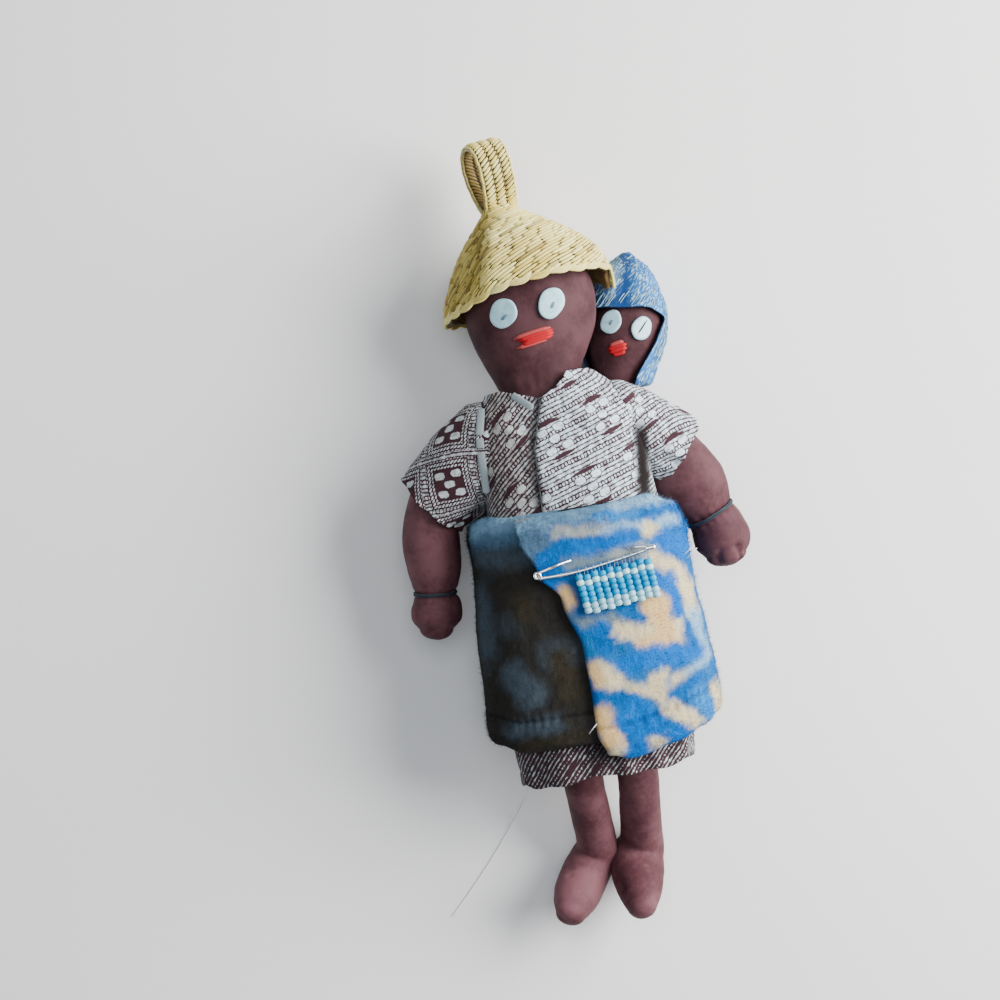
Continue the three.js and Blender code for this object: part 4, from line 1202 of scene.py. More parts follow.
def mouths():
    """The mother's lips are five threads that part at both ends, the child's four in a small knot."""
    mother = Bundle()
    # The pink strand on top of each mouth is a painted highlight.
    strands_on(mother, MOTHER_BODY, [
        ((-7.0, 50.8), (2.9, 52.1), 0.55, 0.2, PINK_RED),
        ((-5.9, 50.1), (3.3, 51.5), 0.62, 0.1, BRIGHT_RED),
        ((-4.8, 49.5), (3.4, 50.8), 0.70, 0.0, BRIGHT_RED),
        ((-5.4, 48.9), (3.0, 50.1), 0.66, -0.1, BRIGHT_RED),
        ((-6.6, 48.4), (2.0, 49.5), 0.52, -0.2, PINK_RED),
    ])
    keep(mother.build("mother_mouth_threads", THREAD), "red_thread", "mother_mouth")
    baby = Bundle()
    strands_on(baby, BABY, [
        ((18.0, 45.7), (21.6, 46.2), 0.6, 0.15, PINK_RED),
        ((17.3, 44.9), (22.3, 45.4), 0.66, 0.1, BRIGHT_RED),
        ((17.5, 44.1), (22.2, 44.5), 0.66, 0.0, BRIGHT_RED),
        ((18.4, 43.3), (21.6, 43.6), 0.55, -0.15, BRIGHT_RED),
    ])
    keep(baby.build("baby_mouth_threads", THREAD), "red_thread", "baby_mouth")


def make_faces():
    """The mother's and the child's eyes, each with its stitch, and their mouths."""
    small = {"x": 0.3, "y": -1.1, "degrees": 20, "length": 2.0, "spread": 1.0,
             "radius": 0.17, "tone": STITCH_GREY}
    eye("mother_right_eye_disc", "mother_right_eye", MOTHER_BODY, -8.1, 57.8, 3.95, 3.6, 40, small)
    eye("mother_left_eye_disc", "mother_left_eye", MOTHER_BODY, 4.1, 58.1, 4.25, 3.3, 52,
        dict(small, x=0.1, y=-0.6, degrees=45))
    eye("baby_right_eye_disc", "baby_right_eye", BABY, 19.6, 51.8, 3.3, 2.8, 50,
        dict(small, x=0.2, y=-0.3, degrees=35, length=1.5))
    eye("baby_left_eye_disc", "baby_left_eye", BABY, 26.8, 48.8, 3.3, 2.75, 48,
        dict(small, x=0.1, y=0.2, degrees=42, length=4.6, spread=0.35, radius=0.12, tone=STITCH_DARK))
    mouths()


# Hat
def hat_fold(along, angle):
    """The hat is pressed flat on its right, with a soft ridge beside the flat part."""
    turned = from_front(angle)
    ridge = 0.8 * bell(turned + 24, 9) - 1.7 * bell(turned + 54, 18)
    return ridge * smooth_step(0.02, 0.25, along) * (1 - smooth_step(0.55, 0.85, along))


HAT_DROOP = [
    (-180, 0), (-95, 0.4), (-60, 1.4), (-20, 2.7), (15, 1.9), (40, 0.8), (65, 1.0), (84, 1.4), (106, -6.2),
    (124, -7.0), (146, -5.0), (180, 0),
]


def hat_surface(along, angle, lift=0.0):
    """A point of the hat: along runs 0 at the rim to 1 at the neck, angle round from the front.

    Its lowest part is pressed a little flat by the ground."""
    along = np.asarray(along, float)
    s = blend(HAT, along * (len(HAT) - 1))
    lift = lift + hat_fold(along, angle) - 1.3 * smooth_step(0.6, 1.0, along)
    x, z = (s[..., 3] + lift) * np.sin(angle), (s[..., 4] + lift) * np.cos(angle)
    fade = 1 - np.clip(along, 0, 1)
    y = s[..., 1] + fade * (HAT_LEAN[0] * x + HAT_LEAN[1] * z + HAT_LEAN[2] * x * z)
    turned = from_front(angle)
    y = y + fade ** 2 * read_marks(HAT_DROOP, turned)
    height = s[..., 2] + z
    height = np.where(height < 1, 0.5 + (height + 1) * 0.25, height)
    return np.stack([s[..., 0] + x, y, height], -1)


def leaf(bundle, line, normal, width, height, tone, sides=7, taper=7):
    """One flat strand: a lens-shaped section along a line, thinner at both tips."""
    path = unit(np.gradient(line, axis=0))
    side = unit(np.cross(path, normal))
    up = np.cross(side, path)
    t = np.linspace(0, 1, len(line))
    thin = np.clip(np.minimum(t, 1 - t) * taper, 0.12, 1) ** 0.6
    angle = full_turn(sides)
    across = np.cos(angle) * width / 2
    deep = np.sin(angle) * height / 2
    spread = side[:, None] * across[None, :, None] + up[:, None] * deep[None, :, None]
    grid = line[:, None] + spread * thin[:, None, None]
    quads, _ = tube_faces(len(line), sides)
    k = np.arange(sides)
    base = (len(line) - 1) * sides
    caps = np.concatenate([np.stack([np.full(sides - 2, 0), k[2:], k[1:-1]], -1),
                           np.stack([np.full(sides - 2, base), base + k[1:-1], base + k[2:]], -1)])
    uv = np.stack([np.tile(np.cos(angle) * width, len(line)), np.repeat(t * 4, sides)], -1)
    uv = uv + rng.uniform(0, 50)
    bundle.add(grid.reshape(-1, 3), quads, caps, tone, uv)


def straw_tone(worn):
    """A strand's own yellow, darkened for the share of strands that are worn; on the hat's pressed side the
    share is raised as painted shade.
    """
    mix = np.clip(rng.normal(0.55, 0.32), 0, 1)
    tone = np.array(STRAW_MID) * (1 - mix) + np.array(STRAW_LIGHT) * mix
    if rng.random() < worn:
        tone = np.array(STRAW_DARK) * 0.6 + tone * 0.4
    return tone


HAT_ROW = 1.02
HAT_STITCH = 2.5


def stitch_length(angle):
    """How much shorter the stitches are on the pressed side, where they climb more steeply."""
    return 1 + 0.75 * smooth_step(-18, -40, np.degrees(angle)) * smooth_step(-130, -100, np.degrees(angle))


def hat_rows():
    """For each row of stitches: its height, and its angles with the lengths of straw to them."""
    along = np.linspace(0, 1, 400)
    front = hat_surface(along, np.zeros_like(along))
    climbed = lengths_along(front)
    heights = np.interp(np.arange(-0.1, climbed[-1], HAT_ROW), climbed, along)
    angle = np.linspace(-math.pi, math.pi, 361)
    lengths = []
    for height in heights:
        ring = hat_surface(np.full_like(angle, height), angle)
        step = np.linalg.norm(np.diff(ring, axis=0), axis=1) * stitch_length((angle[1:] + angle[:-1]) / 2)
        length = np.concatenate([[0], np.cumsum(step)])
        lengths.append(length - length[180])
    return heights, angle, np.array(lengths)


def hat_strands(bundle):
    """Long slanting ridges of straw that climb round the hat, each laid in pieces end to end."""
    heights, angle, lengths = hat_rows()
    last = len(heights) - 1
    first = math.floor(lengths[0, 0] / HAT_STITCH) - last
    for ridge in range(first, math.ceil(lengths[0, -1] / HAT_STITCH)):
        row = rng.uniform(-1.5, 0)
        while row < last:
            reach = rng.uniform(1.4, 3.6)
            rows = np.linspace(max(row - 0.12, 0), min(row + reach, last), 4 + int(reach * 2))
            row += reach
            low = np.minimum(rows.astype(int), last - 1)
            share = (rows - low)[:, None]
            table = lengths[low] * (1 - share) + lengths[low + 1] * share
            at = (ridge + rows) * HAT_STITCH
            if rows[-1] - rows[0] < 0.4 or at[0] < table[0, 0] or at[-1] > table[-1, -1]:
                continue
            turned = np.array([np.interp(x, known, angle) for x, known in zip(at, table)])
            height = np.interp(rows, np.arange(last + 1), heights)
            rise = np.sin(np.linspace(0, math.pi, len(rows)))
            bow = 0.1 + 0.16 * rise + rng.uniform(-0.1, 0.1)
            line = hat_surface(height, turned, bow)
            normal = unit(hat_surface(height, turned, bow + 1) - line)
            # The pressed side faces away from the lamps: there the strands are narrower, and their tone is
            # painted darker and more of them dark, as painted shade.
            pressed = smooth_step(-22, -42, math.degrees(turned.mean()))
            width = rng.uniform(0.66, 0.96) * (1 - 0.5 * pressed)
            tone = straw_tone(0.05 + 0.3 * pressed) * (1 - np.array([0.2, 0.26, 0.4]) * pressed)
            leaf(bundle, line, normal, width, 1.0, tone)


def hat_rim(bundle):
    """Tongues of straw folded over the rim, one beside the next, each of three fibres."""
    t = np.linspace(0, 1, 13)
    for k in range(HAT_SCALLOPS):
        tone = straw_tone(0)
        sag = rng.uniform(0.55, 1.0)
        for fibre in range(3):
            angle = (k + 0.1 * fibre + t * (1.3 - 0.12 * fibre)) / HAT_SCALLOPS * 2 * math.pi
            dip = -sag * np.sin(math.pi * t ** 1.5) * (1 - 0.2 * fibre)
            rise = dip + 1.1 * t ** 3 + 0.4 * fibre
            line = hat_surface(np.zeros_like(t), angle, 0.1 + 0.45 * np.sin(t * math.pi) - 0.08 * fibre)
            line[:, 1] += rise - 0.1
            middle = np.array([HAT[0][0], 0, HAT[0][2]])
            normal = unit((line - middle) * np.array([1, 0, 1]))
            shade = tone * rng.uniform(0.85, 1.05)
            leaf(bundle, line, normal, rng.uniform(0.6, 0.8), 0.9, shade, sides=8)


def hat_wall():
    """The hat's ground under its strands, painted near black as shade in the gaps between them, and its inner
    face, painted dark brown as shade inside the hat.
    """
    outer_rows, inner_rows, sides = 80, 70, 144
    along, angle = np.meshgrid(np.linspace(0.0, 1.0, outer_rows), full_turn(sides), indexing="ij")
    outer = hat_surface(along, angle, -0.3)
    outer = swell(outer, np.sin(angle * 46 + along * 60) * 0.12)
    along, angle = np.meshgrid(np.linspace(0.82, 0.0, inner_rows), full_turn(sides), indexing="ij")
    inner = hat_surface(along, angle, -1.35)
    inner = swell(inner, np.sin(angle * 40 - along * 70) * 0.22 + np.sin(angle * 3) * 0.05)
    rows = np.concatenate([inner, outer])
    tone = np.concatenate([np.tile(np.array(STRAW_DARK) * 1.3, (inner_rows, sides, 1)),
                           np.tile(STRAW_GAP_SHADE, (outer_rows, sides, 1))])
    piece = closed_form("straw_hat_wall", rows, STRAW, tone)
    keep(piece, "plaited_straw", "straw_hat")


def loop_line(share, across, inset):
    """A point on the hat's hanging loop: a share round it, across its width and inset into its strap."""
    step = 1e-3
    flat = loop_flat(share)
    tangent = unit(loop_flat(share + step) - loop_flat(share - step))
    y = flat[..., 0] - tangent[..., 1] * inset
    z = flat[..., 1] + tangent[..., 0] * inset
    c, s = math.cos(HAT_LOOP_TURN), math.sin(HAT_LOOP_TURN)
    x, z = across * c + z * s, -across * s + z * c
    c, s = math.cos(HAT_LOOP_LEAN), math.sin(HAT_LOOP_LEAN)
    x, y = x * c - y * s, x * s + y * c
    return np.stack([x, y, z], -1) + np.array(HAT_LOOP["start"])


def loop_flat(share):
    """The loop's drop shape, seen from its side: how far along it and how deep."""
    angle = share * 2 * math.pi
    along = (1 - np.cos(angle)) / 2
    depth = -np.sin(angle) * (0.45 + 0.55 * along) * HAT_LOOP["half_depth"] * 1.22
    return np.stack([along * HAT_LOOP["length"], depth], -1)


# Painted shade: the loop's inner face is painted dark brown.
LOOP_INSIDE_SHADE = np.array([0.26, 0.20, 0.12])


def hat_loop(bundle):
    """The loop is a strap of three columns of slanting stitches, with two strands along each edge. Its inner
    face and inner edge strands are painted darker, as shade inside the loop.
    """
    column = (HAT_LOOP["width"] - 1.1) / 3
    steps = 46
    t = np.linspace(0, 1, 6)
    for k in range(steps):
        for middle in (-column, 0, column):
            for face, bow, shade in ((-1.4, -0.2, 1.0), (-0.1, 0.1, LOOP_INSIDE_SHADE)):
                across = middle + (t - 0.5) * column * 0.97
                share = 0.02 + 0.96 * (k + rng.uniform(-0.08, 0.08)) / steps - (t - 0.5) * 0.034
                line = loop_line(share, across, face + bow * np.sin(t * math.pi))
                outside = loop_line(share, across, face - 1)
                leaf(bundle, line, unit(outside - line), 0.86, 0.7, straw_tone(0.04) * shade, taper=4)
    share = np.linspace(0, 1, 120)
    for side in (-1, 1):
        for depth in (-0.35, -1.05):
            edge = side * (HAT_LOOP["width"] / 2 - 0.35) + 0.06 * np.sin(share * 90)
            line = loop_line(share, edge, np.full_like(share, depth))
            # Painted shade: the edge strands on the loop's inner side are half as bright.
            bundle.wire(line, 0.36, 8, tone=straw_tone(0) * (0.5 if depth > -1 else 1.0))


def loop_core():
    """The strap under the plaits, painted near black as shade in the gaps between them."""
    share = np.linspace(0, 1, 90, endpoint=False)
    half = HAT_LOOP["width"] / 2 - 0.25
    ring = []
    for across, inset in ((-half, -0.3), (-half / 2, -0.25), (0, -0.25), (half / 2, -0.25), (half, -0.3),
                          (half + 0.2, -0.75), (half, -1.2), (0, -1.25), (-half, -1.2), (-half - 0.2, -0.75)):
        ring.append(loop_line(share, np.full_like(share, across), np.full_like(share, inset)))
    grid = np.stack(ring, axis=1)
    quads, _ = tube_faces(len(share), grid.shape[1], wrap_rings=True)
    tone = np.tile(STRAW_GAP_SHADE, (grid.shape[0] * grid.shape[1], 1))
    piece = face_outward(new_object("straw_loop_core", grid.reshape(-1, 3), [quads], STRAW,
                                    grid.reshape(-1, 3)[:, :2], None, tone))
    keep(piece, "plaited_straw")


def make_hat():
    """The hat's dark wall, the strands laid on it, its brim and its loop."""
    hat_wall()
    strands = Bundle()
    hat_strands(strands)
    keep(strands.build("straw_hat_strands", STRAW), "plaited_straw")
    rim = Bundle()
    hat_rim(rim)
    keep(rim.build("straw_hat_rim", STRAW), "plaited_straw")
    loop_core()
    loop = Bundle()
    hat_loop(loop)
    keep(loop.build("straw_hat_loop", STRAW), "plaited_straw")


# Dress
NECK_DIP = {"x": -2.9, "y": 34.6, "rise": 0.6, "top": 40.6}
PLACKET = [(-3.2, 34.0), (-7.0, 22.1), (-7.6, 6.3), (-8.2, -12.0)]


def bodice_grid():
    """The dress's body from its neckline to its hem, with its folds."""
    sides, rows = 240, 196
    angle = full_turn(sides)
    s0 = section_at(BODICE, np.full(sides, 38.0))
    x0 = s0[:, 0] - section_point(angle, s0[:, 3], s0[:, 4], s0[:, 5])[0]
    rise = np.where(x0 < NECK_DIP["x"], 0.62, 1.0) * NECK_DIP["rise"]
    highest = NECK_DIP["top"] - 2.2 * smooth_step(-2, -12, x0)
    dip = NECK_DIP["y"] + np.abs(x0 - NECK_DIP["x"]) * rise
    top = np.where(np.cos(angle) > 0, np.minimum(dip, highest), highest)
    hem = -62.4 + 0.5 * np.sin(angle * 5 + 1) + 0.35 * np.sin(angle * 11)
    f = np.linspace(0, 1, rows)[:, None]
    y = top[None] + (hem - top)[None] * f
    s = section_at(BODICE, y)
    across, deep = section_point(np.broadcast_to(angle, y.shape), s[..., 3], s[..., 4], s[..., 5])
    p = np.stack([s[..., 0] - across, y, s[..., 2] + deep], -1)
    return p, f


def folds(p, lines):
    """Adds long soft folds: each is a line, a half width and a height."""
    total = np.zeros(p.shape[:-1])
    for line, width, height in lines:
        path = curve_through(line, 30)
        far = np.full(p.shape[:-1], 1e9)
        for point in path:
            far = np.minimum(far, np.linalg.norm(p - point, axis=-1))
        total += height * bell(far, width)
    return total


def bodice():
    """The bodice and skirt with folds, placket and hem, their tones, and masks of two of their areas. The
    tones hold painted shade: a beige tint and a darkening.
    """
    p, f = bodice_grid()
    x, y, z = p[..., 0], p[..., 1], p[..., 2]
    front = smooth_step(28, 36, z)
    placket = np.array(PLACKET)[::-1]
    seam = np.interp(y, placket[:, 1], placket[:, 0])
    beside = x - seam
    step = 0.55 * smooth_step(-0.25, 0.25, beside) * np.exp(-np.clip(beside, 0, None) / 9)
    groove = -0.35 * bell(beside + 0.5, 0.7)
    chest = front * smooth_step(4, 8, y) * (1 - smooth_step(36, 40, y))
    amount = (step + groove) * chest
    amount += rough(p, 8, 21) * 0.38 + rough(p * np.array([1.0, 0.35, 1.0]), 3.2, 22) * 0.16
    flare = smooth_step(0.8, 1.0, f)
    around = np.arctan2(x, z - 28)
    amount += flare * (np.sin(around * 13) * 0.45 + np.sin(around * 7 + 1) * 0.5)
    amount += folds(p, [
        ([(20.0, 25, 40), (20.2, 16, 38.6), (19.2, 8, 40)], 1.3, -1.5),
        ([(17.2, 24, 41.8), (17.6, 14, 41.8), (16.8, 6, 42.2)], 1.2, 0.6),
        ([(-17.6, 24, 41.5), (-19.4, 15, 40.5), (-19, 8, 41)], 1.1, -0.5),
        ([(-14, 30, 41), (-10, 24, 43), (-9, 16, 44)], 1.4, 0.35),
        ([(4, 33, 41), (9, 26, 43.5), (15, 20, 43)], 1.6, 0.4),
        ([(-4, 15, 44), (6, 12, 44), (16, 12, 43)], 1.3, 0.35),
        ([(-16, 12, 43), (-12, 10, 44), (-8, 9, 44)], 1.1, 0.35),
    ])
    hem = bell(f - 0.965, 0.006)
    amount = amount - hem * 0.25
    p = swell(p, np.broadcast_to(amount, x.shape))
    skirt = smooth_step(-20, -24, y)
    ink = np.where(beside > 0, 0.32, 0.25) * (1 - skirt) + (0.12 + 0.07 * smooth_step(6, 16, x)) * skirt
    # Painted shade, not wear: the white print turns beige toward the mother's right, away from the key lamp,
    # left of the placket and on the skirt.
    worn = 0.55 * smooth_step(-4, -16, x) + 0.2 * smooth_step(3, -1, beside)
    beige_shade_tint = front * worn * (1 - skirt) + 0.35 * skirt
    # Painted shade: near black beside the placket's overlap, on the skirt's middle under the blanket and in
    # the armpit fold.
    shade = 0.8 * bell(beside + 0.9, 1.3) * chest
    middle = smooth_step(-9, -4, x) * smooth_step(9, 5, x) * smooth_step(-61, -56, y)
    shade = (shade + skirt * (0.12 + 0.7 * middle)) * front + armpit_painted_shade(p)
    tone = np.stack([ink, np.clip(shade, 0, 1), np.clip(beige_shade_tint, 0, 1)], -1)
    return p, tone, beside > 0, y < -20


def armpit_painted_shade(p):
    """Painted shade in the deep fold between the dress and its left sleeve, 0 to 1."""
    x, y = p[..., 0], p[..., 1]
    off = (x - np.interp(y, [7.7, 15.3, 24], [18.9, 20.0, 20.8])) / 1.9
    return np.exp(-(off ** 4)) * smooth_step(3, 7, y) * (1 - smooth_step(21, 26, y))


CHEST_CLUSTER = (-1.4, 23.8)
SIDE_CLUSTER = (-13.2, 28.2)
SKIRT_CLUSTER = (-13.0, -55.5)


def make_dress():
    """The dress's body, whose print turns at the placket and at the skirt, its sleeves and its tapes."""
    p, tone, left_panel, skirt = bodice()

    def closed(grid):
        return np.concatenate([grid, grid[:, :1]], axis=1)

    def print_at(round_it, _):
        x, y = 0.2 - round_it, closed(p[..., 1])
        chest = np.where(closed(left_panel)[..., None], print_grid(x, y, CHEST_CLUSTER, 16, PRINT_CELL),
                         print_grid(x, y, SIDE_CLUSTER, 37, PRINT_CELL))
        return np.where(closed(skirt)[..., None], print_grid(x, y, SKIRT_CLUSTER, 46, PRINT_CELL), chest)

    body = cloth_shell("dress_body", p, CLOTH, PRINT, print_at, tone)
    keep(body, "printed_cotton", "dress")
    # The number after the ink tints each sleeve's print beige as painted shade, most on the right sleeve,
    # away from the key lamp.
    right = sleeve("dress_right_sleeve", RIGHT_SLEEVE, FRAMED_PRINT, (-27.9, 18.0), -3, 0.29, 0.45, 0.0, 31)
    sleeve("dress_left_sleeve", LEFT_SLEEVE, PRINT, (28.8, 15.4), 24, 0.3, 0.1, 0.09, 32)
    dress_tapes([body, right])


def cut_back(p, share):
    """The tube's rows drawn back from its end at the front, by a share of its length."""
    rows, sides = p.shape[:2]
    angle = full_turn(sides)
    at = np.linspace(0, rows - 1, rows)[:, None] * (1 - share * np.clip(np.cos(angle), 0, 1))
    low = np.minimum(at.astype(int), rows - 2)
    part = (at - low)[..., None]
    column = np.arange(sides)[None]
    return p[low, column] * (1 - part) + p[low + 1, column] * part


def sleeve(name, stations, material, centre, degrees, ink, beige_shade_tint, cut, seed):
    """A flared sleeve that starts narrow inside the bodice."""
    p = cut_back(loft(stations, 80, 120, limb=True), cut)
    rows, sides = p.shape[:2]
    f = np.linspace(0, 1, rows)[:, None]
    middle = p.mean(axis=1, keepdims=True)
    p = middle + (p - middle) * (0.9 + 0.1 * smooth_step(0.0, 0.14, f))[..., None]
    angle = full_turn(sides)[None]
    amount = rough(p, 6, seed) * 0.4 + rough(p, 2.6, seed + 3) * 0.14
    amount = amount + f ** 3 * (np.sin(angle * 7 + seed) * 0.5 + np.sin(angle * 12) * 0.25)
    amount = amount - bell(f - 0.93, 0.02) * 0.22
    start = np.array(stations[0][:2])
    path = unit(np.array(stations[-1][:2]) - start)
    cell = PRINT_CELL if material is PRINT else (FRAME_CELL, FRAME_CELL)

    def print_at(round_it, along):
        x = start[0] + path[0] * along + path[1] * round_it
        y = start[1] + path[1] * along - path[0] * round_it
        return print_grid(x, y, centre, degrees, cell)

    # The tone's blue is the beige tint of painted shade, its green the painted shade of the armpit fold.
    tone = np.tile((ink, 0.0, beige_shade_tint), (rows, sides, 1))
    tone[..., 1] = armpit_painted_shade(p)
    piece = cloth_shell(name, swell(p, amount), CLOTH, material, print_at, tone)
    return keep(piece, "printed_cotton")


ABOVE_THE_DOLL = 90.0
DRESS_TAPES = [
    ((-18.2, 35.2), (-19.9, 28.3), 2.1), ((-20.0, 27.5), (-20.3, 25.0), 2.1),
    ((-20.4, 24.0), (-20.8, 13.4), 2.1), ((-10.0, 36.9), (-5.4, 32.4), 1.9),
]


def dress_tapes(clothes):
    """Narrow white tapes sewn on the dress: one down its side, one at the neckline."""
    tapes = Bundle()
    for start, end, width in DRESS_TAPES:
        t = np.linspace(0, 1, 24)[:, None]
        flat = np.array(start) * (1 - t) + np.array(end) * t
        height = [max(top_of(cloth, x + side, y) for cloth in clothes for side in (-0.7, 0, 0.7))
                  for x, y in flat]
        line = np.column_stack([flat, np.array(height) + 0.15])
        line[:, 2] = np.convolve(np.pad(line[:, 2], 3, mode="edge"), np.ones(7) / 7, mode="valid")
        lean = np.array([0.0, 0.0, 1.0]) + 0.3 * np.array([np.sign(start[0]), 0, 0])
        leaf(tapes, line, unit(lean), width, 0.36, TAPE_WHITE, sides=10, taper=60)
    keep(tapes.build("dress_tapes", THREAD), "white_thread")


def top_of(obj, x, y):
    """Height of an object's front at a place in the doll's frame, or 0 beside it."""
    hit, place, _, _ = obj.ray_cast(Vector(to_row((x, y, ABOVE_THE_DOLL))), Vector((0, 0, -1)))
    return place.z / MM if hit else 0.0


# Blanket
def blanket_base(turned, along, inset):
    """Points of the wrapped sheet: degrees round from its free edge, share up it, depth under its face."""
    low_edge = read_marks(FLAP_EDGE, -60.0) + turned
    bottom = read_marks(BLANKET_BOTTOM, low_edge)
    guess = bottom + (read_marks(BLANKET_TOP, low_edge) - bottom) * along
    degrees = read_marks(FLAP_EDGE, guess) + turned
    y = bottom + (read_marks(BLANKET_TOP, degrees) - bottom) * along
    s = section_at(BLANKET, y)
    shrink = inset + (FLEECE + LAYER_GAP) * read_marks([(250, 0), (345, 1)], turned)
    x, z = section_point(np.radians(degrees), s[..., 3] - shrink, s[..., 4] - shrink, s[..., 5])
    return np.stack([s[..., 0] + x, y, np.maximum(s[..., 2] + z, inset)], -1)


# Areas of the fleece's colour: from one point to another, how wide on each side, and the colour
FLAP_AREAS = [
    ((-22, 4.4), (-9, 3.4), 2.6, SKY_GREY), ((-20, 0.5), (-10, -0.6), 2.9, STEEL_BLUE),
    # The slate and steel-blue strips from (-9.4, -13.6) to (-4.4, -22.6), along the flap's edge below the
    # pin, are painted shadow.
    ((-16, -3.4), (-12, -5), 1.8, STEEL_BLUE), ((-9.4, -13.6), (-6.6, -18.4), 0.9, SLATE),
    ((-6.2, -19.4), (-4.4, -22.6), 0.8, STEEL_BLUE), ((-20, 6.4), (4, 6.2), 0.7, BEIGE_GREY),
    ((-8, 4.8), (10, 4.4), 1.8, SKY_GREY), ((10, 4.8), (24, 4.4), 1.6, PALE),
    ((5, 2.2), (16, 1.8), 1.2, SKY), ((17, 0.8), (23, 0.3), 1.1, BLUE),
    ((-5, 0.6), (6, -0.2), 1.5, BEIGE_GREY), ((6, -0.6), (24, -1.6), 1.1, PALE),
    ((17.4, -2.4), (18.3, -3.2), 1.9, CREAM), ((-9, -5.2), (0, -3.9), 1.6, BLUE),
    ((0, -3.9), (12, -3.7), 1.9, BRIGHT_BLUE), ((-4, -7.6), (8, -7.4), 1.1, GREY),
    ((8, -7.3), (14.5, -7), 1.5, BEIGE_GREY), ((20, -6.6), (25, -9.5), 2.6, BRIGHT_BLUE),
    ((16.5, -9.4), (21, -13.4), 1.5, CREAM), ((21.4, -13.8), (23.8, -19.5), 1.9, CREAM),
    ((23.8, -20), (24.3, -26), 1.5, CREAM), ((24.4, -26), (26.6, -37), 1.3, PALE),
    ((19.6, -16), (19.9, -24.5), 1.7, BRIGHT_BLUE), ((-5.8, -14), (-5, -17), 1.8, TAN),
    ((14.8, -20.5), (15.6, -29.5), 3.2, TAN), ((5, -26.2), (12, -28.4), 2.4, CREAM),
    ((11, -30.6), (20.5, -31), 1.9, TAN), ((19.6, -27.8), (20.6, -30.4), 1.4, CREAM),
    ((9.4, -23.5), (12, -24.6), 1.0, BLUE), ((-3, -22.8), (5, -23.2), 1.1, GREY),
    ((0.8, -25.6), (1.4, -29.5), 2.4, BLUE), ((4, -35.6), (12, -34), 2.6, BRIGHT_BLUE),
    ((12, -34.4), (23, -35), 2.2, BRIGHT_BLUE), ((22, -29), (23, -34), 1.3, BLUE),
    ((-0.8, -35.4), (1.8, -38.4), 2.7, CREAM), ((-2.4, -34), (-1.6, -38), 1.4, TAN),
    ((4, -40.6), (12, -43.4), 1.2, CREAM), ((11.8, -40.6), (12.6, -44.2), 1.9, CREAM),
    ((12.6, -39.8), (15, -38.6), 1.1, CREAM), ((16.4, -41.8), (20, -40.6), 1.1, CREAM),
    ((20, -40.5), (25, -38), 0.8, PALE), ((16, -44.4), (23, -42), 1.6, BLUE),
    ((5, -45.4), (8, -49), 2.8, BRIGHT_BLUE), ((3.4, -50), (9, -52.6), 3.4, BRIGHT_BLUE),
    ((1, -43.4), (3, -42.8), 1.8, BLUE), ((-2.6, -46.4), (-1.4, -53.6), 2.5, TAN),
    ((14.6, -48), (19.6, -52.4), 2.1, CREAM), ((22, -46), (24, -51), 1.8, SKY),
    ((26.4, -45), (27.2, -51), 1.3, CREAM), ((8, -55.6), (10, -55), 1.4, CREAM),
    ((-1.8, -57.2), (0.4, -56), 1.5, CREAM), ((14, -54), (18, -54.8), 1.6, BRIGHT_BLUE),
    ((3, -56.6), (6, -56), 1.8, BRIGHT_BLUE),
]
UNDER_AREAS = [
    ((-27, 1.0), (-8, 0.8), 2.4, STEEL_BLUE), ((-30, 4.6), (-6, 4.8), 2.3, SKY_GREY),
    ((-27, 5.2), (-12, 5.2), 1.1, PALE), ((-24, -2.5), (-12, -3.6), 2.2, SLATE),
    ((-21.5, -33), (-18.6, -38.5), 3.4, SLATE), ((-24, -47), (-14, -46.6), 2.0, SLATE),
    ((-27, -12), (-27, -26), 2.2, SLATE), ((-16.5, -14), (-16, -18), 2.2, UMBER),
    ((-10, -31), (-9, -40), 2.6, UMBER), ((-23, -51.4), (-8, -50.6), 0.9, UMBER),
]


